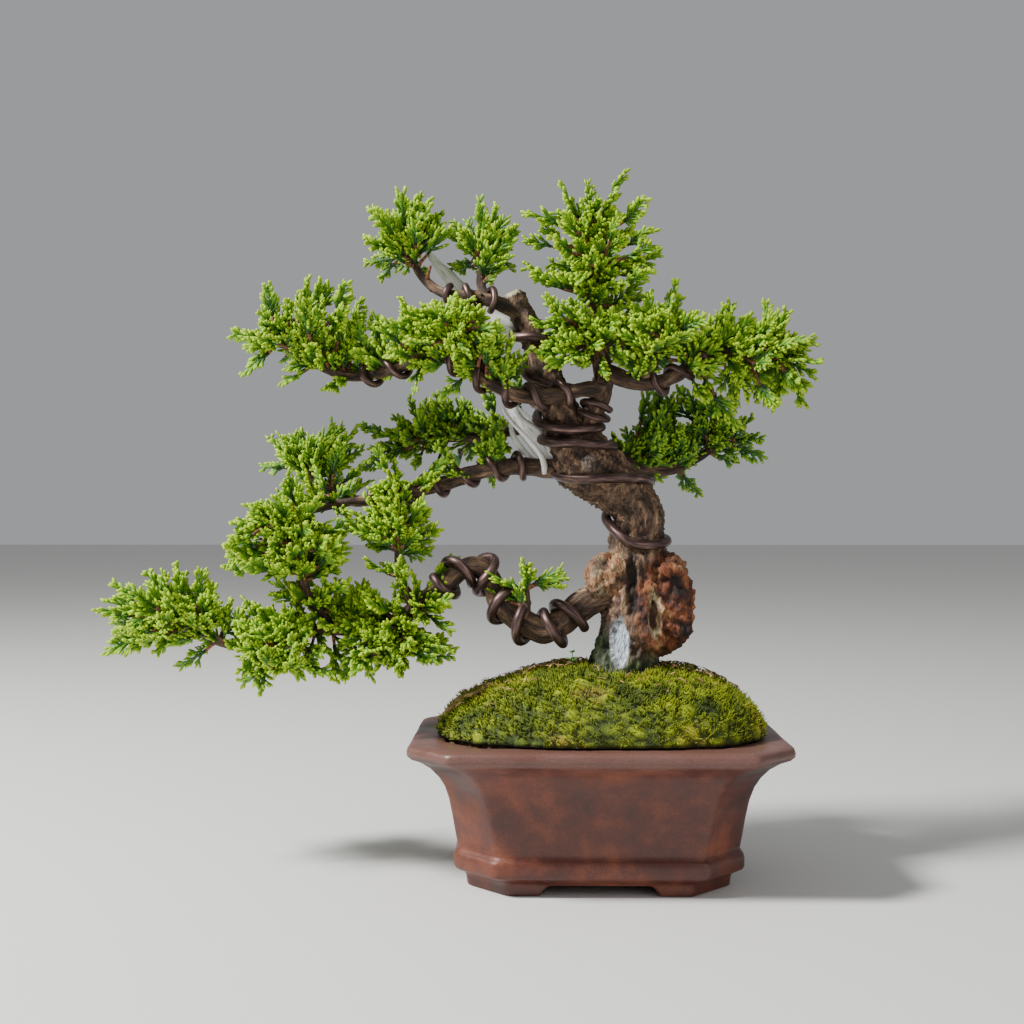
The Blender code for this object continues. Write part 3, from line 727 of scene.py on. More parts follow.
rng = np.random.default_rng(8)
scraps = []
for i in range(FROND_COUNT):
    x, y = rng.uniform(-36, 38), rng.uniform(-24, 20)
    if i < 100:
        x, y = rng.choice((-12.0, 27.0)) + rng.normal(0, 5.5), rng.uniform(-8, 8)
    way, length = rng.uniform(0, 2 * math.pi), rng.uniform(1.2, 3.2)
    bar = []
    for t, radius in ((0.0, 0.22), (0.35, 0.34), (0.7, 0.26), (1.0, 0.1)):
        u, v = x + math.cos(way + t) * length * t, y + math.sin(way + t) * length * t
        bar.append((u, v, moss_top(u, v) + 0.5 + 1.3 * t * (1 - t) + 0.8 * t, radius))
    scraps.append(litter_bar(bar))
for x, y in ROOT_BITS:
    way = rng.uniform(-0.6, 0.6)
    bar = []
    for t, radius in ((0.0, 0.5), (0.3, 1.3), (0.7, 1.1), (1.0, 0.4)):
        u, v = x + math.cos(way) * 4.4 * (t - 0.5), y + math.sin(way) * 4.4 * (t - 0.5)
        bar.append((u, v, moss_top(u, v) + 0.4 + rng.uniform(-0.2, 0.4), radius))
    scraps.append(litter_bar(bar))
litter = mesh_object("moss_litter", *joined(scraps), [dry_scraps])
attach(litter, "root")

x, y = SEEDLING
foot = moss_top(x, y) - 0.6
leaves = [litter_bar([(x, y, foot, 0.2), (x + 0.1, y, foot + 2.4, 0.17), (x, y, foot + 4.6, 0.1)])]
for height, reach, turn in ((2.6, 1.7, 0.3), (2.7, 1.7, 3.4), (4.5, 1.3, 1.2), (4.5, 1.3, 4.2)):
    bar = []
    for t, radius in ((0.05, 0.1), (0.4, 0.5), (0.75, 0.45), (1.0, 0.08)):
        u, v = x + math.cos(turn) * reach * t, y + math.sin(turn) * reach * t
        bar.append((u, v, foot + height + 0.7 * t, radius))
    leaves.append(litter_bar(bar))
seedling = mesh_object("seedling", *joined(leaves), [seedling_green])
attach(seedling, "root")

# Trunk ------------------------------------------------------------------------------------
# Old juniper wood under flaking bark: a narrow foot with a bare pale tongue, a large rusty
# burl on the right, a knobbly cream one on the left, then a bent neck. Grown as one piece.
TRUNK_ROUTE = [
    (7.0, 0.0, 41.0, 11.5),
    (7.0, 0.0, 49.0, 10.2),
    (7.3, 0.0, 56.0, 9.2),
    (9.0, 0.0, 63.0, 8.4),
    (11.0, 0.0, 70.0, 9.0),
    (12.0, 0.0, 78.0, 9.2),
    (11.0, 0.0, 86.0, 7.9),
    (10.8, 0.0, 91.0, 6.6),
    (11.6, 0.0, 97.0, 6.8),
    (8.6, 0.0, 102.6, 6.7),
    (3.6, 0.0, 106.6, 7.4),
    (-1.8, 0.0, 111.0, 7.9),
    (-5.6, 0.0, 117.5, 7.0),
    (-8.6, 0.0, 123.0, 5.6),
    (-10.8, 0.0, 128.5, 4.7),
    (-13.3, 0.0, 135.0, 4.0),
    (-15.9, 0.0, 142.6, 3.5),
    (-19.4, 0.0, 150.4, 3.1),
    (-23.3, 0.0, 158.2, 2.9),
]
BURLS = [
    ((17.2, -1.0, 74.0), (8.8, 8.4, 14.2)),
    ((2.4, -2.0, 81.0), (5.6, 5.8, 6.2)),
    ((-3.0, -0.5, 111.0), (8.6, 7.8, 6.8)),
    ((5.0, -1.0, 52.0), (11.5, 10.0, 6.5)),
    ((-2.6, -7.2, 111.4), (2.1, 2.0, 2.0)),
    ((-8.4, -5.6, 114.6), (2.6, 2.2, 2.4)),
    ((3.0, -6.6, 107.4), (2.4, 2.0, 1.9)),
    ((-15.6, -2.6, 128.2), (2.6, 2.2, 2.0)),
    ((-0.6, -5.4, 78.4), (2.5, 2.4, 2.2)),
    ((5.6, -7.0, 84.2), (2.6, 2.0, 2.4)),
    ((19.6, -6.6, 82.6), (4.2, 3.2, 3.6)),
    ((21.4, -6.2, 68.4), (4.0, 3.4, 4.6)),
    ((13.6, -5.6, 71.0), (6.6, 5.4, 11.0)),
    ((12.4, -4.0, 84.0), (5.4, 5.0, 5.6)),
]
VOXEL_MM = 0.62


def smooth(route, step):
    """Stations (x, y, z, radius) on a smooth curve through the route's, one every step or so."""
    route = [Vector(station) for station in route]
    stations = []
    for i in range(len(route) - 1):
        before, here = route[max(i - 1, 0)], route[i]
        there, after = route[i + 1], route[min(i + 2, len(route) - 1)]
        count = max(1, round((there.xyz - here.xyz).length / step))
        for j in range(count):
            t = j / count
            cubic = 3 * here - before - 3 * there + after
            square = 2 * before - 5 * here + 4 * there - after
            stations.append((2 * here + (there - before) * t + square * t**2 + cubic * t**3) / 2)
    return np.array([station[:] for station in stations + [route[-1]]])


def tube(stations, around, uneven=0.0, fine=1.0, flat=1.0):
    """(points, quads, grain) of a closed bar along stations; grain runs along the wood in mm."""
    centres = stations[:, :3]
    along = np.gradient(centres, axis=0)
    steps = np.linalg.norm(along, axis=1)
    along /= steps[:, None]
    side = np.cross(along[0], (0.31, 0.52, 0.8))
    sides = []
    for ahead in along:
        side = side - side.dot(ahead) * ahead
        side /= np.linalg.norm(side)
        sides.append(side)
    sides = np.array(sides)
    overs = np.cross(along, sides)
    turn = np.arange(around) * (2 * math.pi / around)
    cos, sin = np.cos(turn)[None, :, None], np.sin(turn)[None, :, None] * flat
    spokes = sides[:, None] * cos + overs[:, None] * sin
    distance = np.cumsum(steps)
    radius = np.repeat(stations[:, 3:4], around, axis=1)
    grain = np.empty((len(stations), around, 3))
    grain[:, :, 0] = radius * np.cos(turn)
    grain[:, :, 1] = radius * np.sin(turn)
    grain[:, :, 2] = distance[:, None]
    if uneven:
        shape = grain.reshape(-1, 3) * (0.75 / fine, 0.75 / fine, 0.28 / fine)
        seed = float(centres[0].sum())
        swell = [noise.noise(Vector((x, y, z + seed))) for x, y, z in shape]
        knots = [noise.noise(Vector((x, y, z + seed)) * 0.4) for x, y, z in shape]
        radius = radius * (1 + uneven * (np.array(swell) + np.array(knots)).reshape(radius.shape))
    points = centres[:, None] + spokes * radius[:, :, None]
    index = np.arange(len(stations) * around).reshape(-1, around)
    after = np.roll(index, -1, axis=1)
    quads = np.stack([index[:-1], after[:-1], after[1:], index[1:]], axis=-1).reshape(-1, 4)
    last = index[-1, 0]
    caps = [[0, k + 2, k + 1, k] for k in range(1, around - 2, 2)]
    caps += [[last, last + k, last + k + 1, last + k + 2] for k in range(1, around - 2, 2)]
    return points.reshape(-1, 3), np.concatenate([quads, caps]), grain.reshape(-1, 3)


def round_end(stations, share=0.8):
    """The stations with a rounded end added, its length this share of the end's radius."""
    end = stations[-1]
    ahead = end[:3] - stations[-2, :3]
    ahead = ahead / np.linalg.norm(ahead)
    more = []
    for t in (0.35, 0.65, 0.88, 1.0):
        more.append((*(end[:3] + ahead * end[3] * share * t), end[3] * math.sqrt(1.04 - t * t)))
    return np.concatenate([stations, more])


def burl(centre, half, seed):
    bm = bmesh.new()
    bmesh.ops.create_icosphere(bm, subdivisions=4, radius=1.0)
    points = []
    for vert in bm.verts:
        out = vert.co.normalized()
        swell = 1 + 0.13 * noise.noise(out * 2.1 + Vector((seed * 7.3, 0.0, 0.0)))
        points.append([c + h * swell * o for c, h, o in zip(centre, half, out)])
    faces = [[vert.index for vert in face.verts] for face in bm.faces]
    bm.free()
    return points, faces


def bump_at(point, centre, half):
    """1 at the centre of an ellipsoid, falling smoothly to 0 at its surface."""
    away = sum(((p - c) / h) ** 2 for p, c, h in zip(point, centre, half))
    return max(0.0, 1 - away) ** 2 if away < 1 else 0.0


TONGUE = ((5.8, -9.0, 63.6), (3.0, 6.0, 8.0))
HOLLOW = ((15.2, -11.0, 71.6), (2.2, 7.0, 8.0))
CREASE = ((8.8, -9.0, 78.0), (1.9, 8.0, 10.5))
FOOT_GREEN = ((-1.0, -4.0, 60.0), (11.0, 14.0, 11.0))
SAWN_TOP = (-23.3, 0.0, 158.2)
SAWN_ACROSS = Vector((-0.447, 0.0, 0.894))


def make_trunk():
    bm = bmesh.new()
    bodies = [tube(smooth(TRUNK_ROUTE, 1.5), 24)[:2]]
    for i in range(5):
        turn = 2 * math.pi * (i + 0.3) / 5
        route = [(4.0, 47.0, 5.0), (12.0, 42.0, 3.8), (17.0, 35.0, 2.8), (20.0, 27.0, 1.8)]
        route = [(7 + r * math.cos(turn), r * math.sin(turn), z, w) for r, z, w in route]
        bodies.append(tube(smooth(route, 2.0), 16)[:2])
    for i, (centre, half) in enumerate(BURLS):
        bodies.append(burl(centre, half, i + 1))
    for points, faces in bodies:
        verts = [bm.verts.new(Vector(point) * MM) for point in points]
        for face in faces:
            bm.faces.new([verts[k] for k in face])
    grown = object_of("grown", bm)
    remesh = grown.modifiers.new("grown together", "REMESH")
    remesh.mode = "VOXEL"
    remesh.voxel_size = VOXEL_MM * MM
    apply_modifiers(grown)
    mesh = grown.data
    count = len(mesh.vertices)
    points = np.empty(count * 3)
    normals = np.empty(count * 3)
    mesh.vertices.foreach_get("co", points)
    mesh.vertices.foreach_get("normal", normals)
    quads = np.empty(len(mesh.polygons) * 4, np.int64)
    mesh.polygons.foreach_get("vertices", quads)
    bpy.data.objects.remove(grown)
    return points.reshape(-1, 3) / MM, normals.reshape(-1, 3), quads.reshape(-1, 4)


def grain_of(points):
    """Coordinates that run along the trunk: its nearest station's distance, and the offset."""
    stations = smooth(TRUNK_ROUTE, 1.5)[:, :3]
    steps = np.linalg.norm(np.diff(stations, axis=0), axis=1)
    distance = np.concatenate([[0.0], np.cumsum(steps)])
    grain = np.empty_like(points)
    for i, point in enumerate(points):
        nearest = np.argmin(((stations - point) ** 2).sum(1))
        before, after = stations[max(nearest - 1, 0)], stations[min(nearest + 1, len(stations) - 1)]
        ahead = (after - before) / np.linalg.norm(after - before)
        grain[i, :2] = (point - stations[nearest])[:2]
        grain[i, 2] = distance[nearest] + (point - stations[nearest]) @ ahead
    return grain


def carve_trunk(points, normals, grain):
    """Bark fissures, lumpy burls, the bare tongue and the sunken groove; what shows where; and painted shade
    where the surface lies low.
    """
    zones = np.zeros((len(points), 3))  # bare wood, burl, green with algae
    mottle_and_recess_shade = np.zeros(len(points))
    moved = points.copy()
    for i, point in enumerate(points):
        x, y, z = point
        here = Vector(point)
        bare = min(1.0, 5.0 * bump_at(point, *TONGUE)) if y < 0 else 0.0
        groove = min(1.0, 2.0 * bump_at(point, *HOLLOW)) if y < 0 else 0.0
        right = min(1.0, 6.0 * bump_at(point, (18.0, -3.0, 73.4), (11.2, 16.0, 17.0)))
        left = min(1.0, 5.0 * bump_at(point, (1.2, -4.0, 82.0), (8.4, 13.0, 10.0)))
        foot = min(1.0, 2.0 * bump_at(point, *FOOT_GREEN)) * (1 - bare)
        burled = max(right, left)
        foot = max(foot, smoothstep(63.0, 57.0, z) * (1 - bare))
        fissure = Vector((grain[i, 0] * 0.6, grain[i, 1] * 0.6, grain[i, 2] * 0.2))
        ridges = abs(noise.noise(fissure)) * 2 - 0.35
        plates = abs(noise.noise(fissure * 2.3 + Vector((4.0, 0, 0)))) * 2 - 0.35
        lumps = noise.noise(here * 0.28) + 0.6 * noise.noise(here * 0.62)
        pits = noise.voronoi(here / 2.3)[0][0] - 0.35
        rise = (1 - burled) * (1.1 * ridges + 0.6 * plates + 0.5 * lumps)
        rise += burled * (1.3 * lumps - 0.5 * pits + 0.7 * plates)
        rise -= 2.2 * min(1.0, 2.0 * bump_at(point, *CREASE)) if y < 0 else 0.0
        rise = rise * (1 - 0.9 * bare) - 0.9 * bare - 2.4 * groove
        edge = bare * (1 - bare) * 4
        rise += 0.8 * edge * (1 - groove)
        if z > 120:
            rise *= 0.55
        from_saw = here - Vector(SAWN_TOP)
        if from_saw.length < 4.4 and from_saw.dot(SAWN_ACROSS) > -1.0:
            rise, bare, burled = 0.0, 1.0, 1.0
        for knob in (BURLS[4][0], BURLS[7][0]):
            near = max(0.0, 1 - math.dist(point, knob) / 2.4)
            bare, burled = max(bare, min(0.8, 2.2 * near)), max(burled, min(1.0, 3 * near))
        moved[i] = point + normals[i] * rise
        split = 4 * groove * (1 - groove)
        # Painted shade: low places of the carved surface are marked for darker colour; bare wood and splits stay
        # light.
        mottle_and_recess_shade[i] = max(smoothstep(-1.3, 0.7, rise), bare, 0.8 * split)
        pale = max(bare, 0.85 * split, 0.24 * left * (0.6 + 2 * pits))
        zones[i] = (pale, burled, foot)
    return moved, zones, mottle_and_recess_shade


# Bark: grey-brown flaking plates over rusty inner bark, cream and orange where the burls have
# weathered, blue-white where the wood is bare, and green with algae at the damp foot. Painted
# shade darkens the low places of the trunk's surface.
bark, shader = new_material("juniper bark")
grain = add_node(bark, "Attribute", {"attribute_name": "grain"})
zone = add_node(bark, "Attribute", {"attribute_name": "zone"})
zones = add_node(bark, "SeparateXYZ", Vector=zone.outputs["Vector"])
stretch = add_node(bark, "Mapping", Vector=grain.outputs["Vector"], Scale=(1.0, 1.0, 0.22))
plates = add_node(
    bark, "TexNoise", Vector=stretch.outputs["Vector"], Scale=0.55, Detail=6.0, Roughness=0.65
)
threads = add_node(
    bark, "TexNoise", Vector=stretch.outputs["Vector"], Scale=2.6, Detail=3.0, Roughness=0.6
)
blotch = add_node(bark, "TexNoise", Vector=grain.outputs["Vector"], Scale=0.2, Detail=6.0)
brown = add_node(
    bark,
    "ValToRGB",
    Fac=plates.outputs["Fac"],
    stops=((0.3, "#1E1510"), (0.43, "#4B392D"), (0.56, "#84664E"), (0.7, "#C0A07C")),
)
rust = add_node(
    bark,
    "ValToRGB",
    Fac=blotch.outputs["Fac"],
    stops=((0.34, "#1E0F0A"), (0.43, "#5A2E1C"), (0.53, "#94532F"), (0.62, "#B87E50"), (0.74, "#DCC092")),
)
burly = add_node(
    bark,
    "MixRGB",
    Fac=zones.outputs["Y"],
    Color1=brown.outputs["Color"],
    Color2=rust.outputs["Color"],
)
damp_green = add_node(
    bark,
    "ValToRGB",
    Fac=plates.outputs["Fac"],
    stops=((0.3, "#14190E"), (0.5, "#36402A"), (0.68, "#6A7C4C")),
)
footed = add_node(
    bark,
    "MixRGB",
    Fac=zones.outputs["Z"],
    Color1=burly.outputs["Color"],
    Color2=damp_green.outputs["Color"],
)
bare_wood = add_node(
    bark,
    "ValToRGB",
    Fac=threads.outputs["Fac"],
    stops=((0.3, "#9CA8B4"), (0.5, "#C0CAD4"), (0.7, "#E0E4E4")),
)
cut_wood = add_node(
    bark,
    "ValToRGB",
    Fac=threads.outputs["Fac"],
    stops=((0.3, "#A79A6C"), (0.5, "#D2C596"), (0.7, "#E8DFBE")),
)
open_wood = add_node(
    bark,
    "MixRGB",
    Fac=zones.outputs["Y"],
    Color1=bare_wood.outputs["Color"],
    Color2=cut_wood.outputs["Color"],
)
tree_colour = add_node(
    bark,
    "MixRGB",
    Fac=zones.outputs["X"],
    Color1=footed.outputs["Color"],
    Color2=open_wood.outputs["Color"],
)
thread_shade = add_node(
    bark, "ValToRGB", Fac=threads.outputs["Fac"], stops=((0.34, "#6E6660"), (0.6, "#FFFFFF"))
)
finished = add_node(
    bark,
    "MixRGB",
    {"blend_type": "MULTIPLY"},
    Fac=0.75,
    Color1=tree_colour.outputs["Color"],
    Color2=thread_shade.outputs["Color"],
)
# Painted shade: the trunk's low places are darkened towards near black; on the limbs the same value is random
# mottling.
mottle_and_recess_shade = add_node(bark, "Attribute", {"attribute_name": "mottle_and_recess_shade"})
painted_recess_shade = add_node(
    bark,
    "ValToRGB",
    Fac=mottle_and_recess_shade.outputs["Fac"],
    stops=((0.0, "#3A302A"), (0.4, "#A89C92"), (0.75, "#FFFFFF")),
)
shaded_bark = add_node(
    bark,
    "MixRGB",
    {"blend_type": "MULTIPLY"},
    Fac=0.9,
    Color1=finished.outputs["Color"],
    Color2=painted_recess_shade.outputs["Color"],
)
dryness = add_node(bark, "MapRange", Value=blotch.outputs["Fac"], To_Min=0.6, To_Max=0.95)
bump = add_node(bark, "Bump", Height=threads.outputs["Fac"], Distance=0.5 * MM)
wire_up(
    bark,
    shader,
    Base_Color=shaded_bark.outputs["Color"],
    Roughness=dryness.outputs["Result"],
    Normal=bump.outputs["Normal"],
)

points, normals, quads = make_trunk()
grain = grain_of(points)
points, zones, mottle_and_recess_shade = carve_trunk(points, normals, grain)
values = {"grain": grain, "zone": zones, "mottle_and_recess_shade": mottle_and_recess_shade}
trunk = mesh_object("old_trunk", points, quads, [bark], values=values)
stand_for(trunk, "trunk")

# Branches ---------------------------------------------------------------------------------
# Living limbs of the juniper, each bent into place and tapering from its fork to thin brown
# twigs. Thin flaking bark with old leaf scars and knots makes their outline uneven.
LOWER_LEFT = [
    (9.0, -1.0, 76.0, 3.9), (1.0, -2.0, 75.0, 3.8), (-4.7, -3.0, 72.4, 3.7),
    (-9.9, -4.0, 68.4, 3.5), (-14.2, -5.0, 66.7, 3.4), (-18.5, -5.0, 68.0, 3.3),
    (-22.5, -4.0, 70.6, 3.2), (-26.2, -3.0, 74.4, 3.1), (-28.4, -2.0, 79.0, 3.0),
    (-32.0, -2.0, 83.2, 2.8), (-37.0, -3.0, 82.6, 2.6), (-41.4, -4.0, 78.6, 2.4),
    (-47.5, -5.0, 74.6, 2.2), (-54.0, -5.0, 69.0, 2.1), (-62.0, -5.0, 66.8, 2.0),
    (-71.0, -4.0, 66.9, 1.8), (-81.0, -3.0, 66.0, 1.6), (-91.0, -2.0, 61.5, 1.4),
    (-101.0, -1.0, 62.5, 1.2), (-111.0, 0.0, 67.0, 1.0),
]
MID_LEFT = [
    (-3.0, 1.0, 109.0, 2.9), (-10.0, 2.0, 110.4, 2.7), (-17.0, 3.0, 110.9, 2.4),
    (-25.0, 4.0, 111.0, 2.3), (-32.5, 4.0, 109.6, 2.1), (-41.0, 4.0, 106.6, 2.0),
    (-49.0, 3.0, 104.6, 1.9), (-58.0, 3.0, 102.4, 1.7), (-67.0, 4.0, 101.8, 1.5),
    (-75.0, 6.0, 105.0, 1.3), (-80.0, 8.0, 110.0, 1.0),
]
APEX = [
    (-4.0, -1.0, 117.0, 3.0), (-1.6, -4.0, 123.5, 2.8), (1.0, -4.0, 130.0, 2.7),
    (1.6, -3.0, 137.0, 2.5), (-0.6, -2.0, 145.0, 2.2), (-1.4, 0.0, 154.0, 1.8),
    (-1.0, 0.0, 164.0, 1.4), (-2.0, 0.0, 173.0, 1.0),
]
FRONT_TOP_LEFT = [
    (1.0, -4.0, 131.5, 2.3), (-4.0, -9.0, 131.0, 2.2), (-11.0, -11.0, 129.4, 2.1),
    (-20.8, -11.5, 129.2, 2.0), (-28.0, -11.5, 132.2, 1.9), (-34.0, -11.0, 136.0, 1.8),
    (-41.0, -10.0, 139.6, 1.7), (-49.0, -8.0, 138.6, 1.6), (-57.0, -6.0, 136.2, 1.5),
    (-66.0, -4.0, 135.0, 1.4), (-75.0, -3.0, 138.0, 1.2), (-85.0, -2.0, 144.0, 0.9),
]
CROWN_LEFT = [
    (-20.0, -0.5, 151.6, 2.0), (-26.5, -2.5, 155.0, 1.9), (-33.0, -2.5, 157.0, 1.7),
    (-40.0, -0.5, 157.4, 1.5), (-47.0, 2.0, 162.0, 1.2), (-51.0, 5.0, 169.0, 0.9),
]
RIGHT = [
    (1.3, -3.2, 137.0, 2.2), (8.0, -5.0, 133.8, 2.1), (15.0, -6.0, 133.0, 2.0),
    (20.6, -6.0, 134.8, 1.8), (26.4, -5.0, 138.8, 1.6), (33.0, -4.0, 141.6, 1.4),
    (44.0, -2.0, 142.6, 1.0),
]
BACK_RIGHT = [
    (-1.0, 3.0, 112.0, 2.5), (6.0, 10.0, 113.0, 2.2), (14.6, 15.0, 111.0, 1.9),
    (21.0, 18.0, 110.4, 1.6), (30.0, 21.0, 114.0, 1.2), (36.0, 22.0, 119.0, 0.9),
]
BACK_LEFT = [
    (-6.0, 3.0, 119.0, 2.2), (-13.0, 10.0, 121.0, 2.0), (-23.0, 15.0, 121.6, 1.7),
    (-34.0, 17.0, 120.0, 1.4), (-46.0, 17.0, 119.0, 0.9),
]
TWIGS = {
    "branch_apex": [
        [(-0.4, -2.0, 143.0, 1.6), (4.0, 7.0, 143.6, 1.3), (8.0, 16.0, 145.0, 0.9)],
    ],
    "branch_lower_left": [
        [(-19.5, -5.0, 68.6, 1.4), (-19.0, -7.5, 73.0, 1.2), (-19.0, -8.0, 78.0, 0.8)],
        [(-49.0, -5.0, 73.4, 1.5), (-53.0, -4.0, 80.0, 1.3), (-54.0, -3.0, 90.0, 0.9)],
        [(-52.0, -5.0, 70.8, 1.3), (-54.0, -6.0, 66.0, 1.1), (-55.0, -6.0, 61.0, 0.8)],
        [(-70.0, -4.0, 66.9, 1.5), (-77.0, -6.0, 74.0, 1.3), (-81.0, -8.0, 88.0, 0.9)],
        [(-80.0, -3.0, 66.2, 1.3), (-83.0, -6.0, 62.5, 1.1), (-85.0, -8.0, 58.0, 0.8)],
    ],
    "branch_mid_left": [
        [(-65.0, 3.7, 101.8, 1.3), (-74.0, 0.0, 100.0, 1.1), (-80.0, -4.0, 98.0, 0.8)],
    ],
    "branch_front_top_left": [
        [(-37.0, -10.6, 138.0, 1.5), (-38.0, -13.0, 142.0, 1.2), (-38.0, -14.0, 147.0, 0.8)],
    ],
    "branch_crown_left": [
        [(-30.0, -2.5, 156.4, 1.4), (-31.5, 1.0, 161.0, 1.2), (-31.5, 4.0, 168.0, 0.8)],
    ],
    "branch_right": [
        [(12.0, -5.6, 133.2, 1.5), (15.0, -7.0, 138.0, 1.3), (17.0, -8.0, 144.0, 0.9)],
    ],
}
BRANCHES = {
    "branch_lower_left": LOWER_LEFT,
    "branch_mid_left": MID_LEFT,
    "branch_apex": APEX,
    "branch_front_top_left": FRONT_TOP_LEFT,
    "branch_crown_left": CROWN_LEFT,
    "branch_right": RIGHT,
    "branch_back_right": BACK_RIGHT,
    "branch_back_left": BACK_LEFT,
}
SCAR_EVERY_MM = 6.0


def branch_body(route, around, uneven):
    """A limb with a rounded end and small scars where twigs have been cut away."""
    stations = round_end(smooth(route, 0.8))
    parts = [tube(stations, around, uneven)]
    rng = np.random.default_rng(int(abs(stations[0].sum()) * 10))
    along = 0.0
    for before, station in zip(stations, stations[1:]):
        along += math.dist(before[:3], station[:3])
        if along > SCAR_EVERY_MM and station[3] > 1.3:
            along = rng.uniform(-3.0, 2.0)
            out = np.array(rng.normal(0, 1, 3))
            out /= np.linalg.norm(out)
            size = station[3] * rng.uniform(0.3, 0.5)
            reach = station[3] * rng.uniform(0.9, 1.3)
            scar = [(*(station[:3] + out * reach * t), size * (1.25 - 0.5 * t)) for t in (0.2, 0.7, 1.0)]
            parts.append(tube(round_end(np.array(scar), 0.5), 8, 0.2))
    return joined(parts)


for name, route in BRANCHES.items():
    parts = [branch_body(route, 16, 0.2)]
    parts += [branch_body(twig, 10, 0.16) for twig in TWIGS.get(name, [])]
    points, quads, grain = joined(parts)
    scale = np.array((0.55, 0.55, 0.2))
    shapes = grain * scale
    # Random mottling along the grain, carried in the value that holds the trunk's painted shade.
    mottle_and_recess_shade = [0.55 + 0.6 * noise.noise(Vector(shape)) for shape in shapes]
    values = {"grain": grain, "zone": np.zeros((len(points), 3)), "mottle_and_recess_shade": np.array(mottle_and_recess_shade)}
    limb = mesh_object("live_" + name, points, quads, [bark], values=values)
    stand_for(limb, name)

# Wires ------------------------------------------------------------------------------------
# Annealed aluminium training wire, anodised dark brown and scuffed, wound by hand round the
# trunk and the limbs at about 45 degrees and held by them all the way along.
TRUNK_WRAP = [
    (10.8, 0.0, 84.0, 7.9), (10.8, 0.0, 91.0, 6.9), (11.6, 0.0, 97.0, 7.4),
    (8.2, 0.0, 102.6, 8.2), (0.8, 0.0, 108.4, 8.2), (-4.6, 0.0, 114.5, 8.4),
    (-6.4, 0.0, 119.5, 7.1), (-9.2, 0.0, 125.0, 5.7), (-11.2, 0.0, 129.5, 5.0),
    (-13.3, 0.0, 135.0, 4.2), (-15.9, 0.0, 142.6, 3.7), (-19.4, 0.0, 150.4, 3.3),
]
TRUNK_PASSES = (91.0, 108.4, 118.2, 121.6, 134.0, 147.0)
HEAVY_WIRE = 1.35
LIGHT_WIRE = 0.95
WIRE_LIFT = 0.2


def coil(route, passes, wire_radius, tail=0.2, hand=1, dip=0.0, level=0.0):
    """Stations of a wire wound on a route, passing its front at each of these distances."""
    stations = smooth(route, 1.5)
    steps = np.linalg.norm(np.diff(stations[:, :3], axis=0), axis=1)
    distance = np.concatenate([[0.0], np.cumsum(steps)])
    ordinals = np.arange(len(passes))
    wound = []
    for turn in np.arange(-tail, len(passes) - 1 + tail, 1 / 26):
        angle = 2 * math.pi * turn
        at_mm = np.interp(turn, ordinals, passes) - dip * math.cos(angle)
        here = [np.interp(at_mm, distance, stations[:, k]) for k in range(4)]
        ahead = Vector([np.interp(at_mm + 0.8, distance, stations[:, k]) for k in range(3)])
        behind = Vector([np.interp(at_mm - 0.8, distance, stations[:, k]) for k in range(3)])
        along = (ahead - behind).normalized().lerp(Vector((0.0, 0.0, 1.0)), level).normalized()
        front = Vector((0.0, -1.0, 0.0))
        front = (front - front.dot(along) * along).normalized()
        side = hand * along.cross(front)
        slack = 0.25 * noise.noise(Vector((turn * 1.7, here[0] * 0.1, 3.0)))
        reach = here[3] + wire_radius + WIRE_LIFT + slack
        spoke = front * math.cos(angle) + side * math.sin(angle)
        centre = Vector(here[:3]) + spoke * float(reach)
        wound.append((*centre, wire_radius))
    return np.array(wound)


def passes_at(heights):
    stations = smooth(TRUNK_WRAP, 1.5)
    steps = np.linalg.norm(np.diff(stations[:, :3], axis=0), axis=1)
    distance = np.concatenate([[0.0], np.cumsum(steps)])
    return np.interp(heights, stations[:, 2], distance)


def even_passes(start, end, pitch):
    return np.linspace(start, end, max(2, round((end - start) / pitch) + 1))


WIRES = {
    "wire_trunk": coil(TRUNK_WRAP, passes_at(TRUNK_PASSES), HEAVY_WIRE, 0.45, -1, 1.4, 0.75),
    "wire_lower_left": coil(LOWER_LEFT, even_passes(17.0, 64.0, 8.5), HEAVY_WIRE),
    "wire_mid_left": coil(MID_LEFT, even_passes(17.0, 60.0, 9.5), LIGHT_WIRE),
    "wire_front_top_left": coil(FRONT_TOP_LEFT, even_passes(12.0, 70.0, 8.5), LIGHT_WIRE),
    "wire_apex": coil(APEX, even_passes(8.6, 11.6, 3.0), LIGHT_WIRE),
    "wire_crown_left": coil(CROWN_LEFT, even_passes(9.0, 22.0, 5.5), LIGHT_WIRE),
    "wire_right": coil(RIGHT, even_passes(15.0, 30.0, 7.0), LIGHT_WIRE),
}

# Anodised aluminium: a dark brown film that lets the metal glint, with paler rubbed streaks.
anodised, shader = new_material("brown anodised aluminium")
grain = add_node(anodised, "Attribute", {"attribute_name": "grain"})
drawn = add_node(anodised, "Mapping", Vector=grain.outputs["Vector"], Scale=(1.0, 1.0, 0.15))
streaks = add_node(anodised, "TexNoise", Vector=drawn.outputs["Vector"], Scale=1.6, Detail=4.0)
film = add_node(
    anodised,
    "ValToRGB",
    Fac=streaks.outputs["Fac"],
    stops=((0.35, "#3A2B29"), (0.55, "#5A4643"), (0.75, "#96766C")),
)
rubbed = add_node(
    anodised, "MapRange", Value=streaks.outputs["Fac"], To_Min=0.28, To_Max=0.58
)
bump = add_node(anodised, "Bump", Height=streaks.outputs["Fac"], Distance=0.05 * MM)
wire_up(
    anodised,
    shader,
    Base_Color=film.outputs["Color"],
    Metallic=0.75,
    Roughness=rubbed.outputs["Result"],
    Normal=bump.outputs["Normal"],
)

for name, stations in WIRES.items():
    points, quads, grain = tube(round_end(stations, 0.35), 14)
    wire = mesh_object("wound_" + name, points, quads, [anodised], values={"grain": grain})
    stand_for(wire, name)
for side in ("left", "right"):
    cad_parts[f"mesh_clip_{side}"].data.materials.clear()
    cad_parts[f"mesh_clip_{side}"].data.materials.append(anodised)

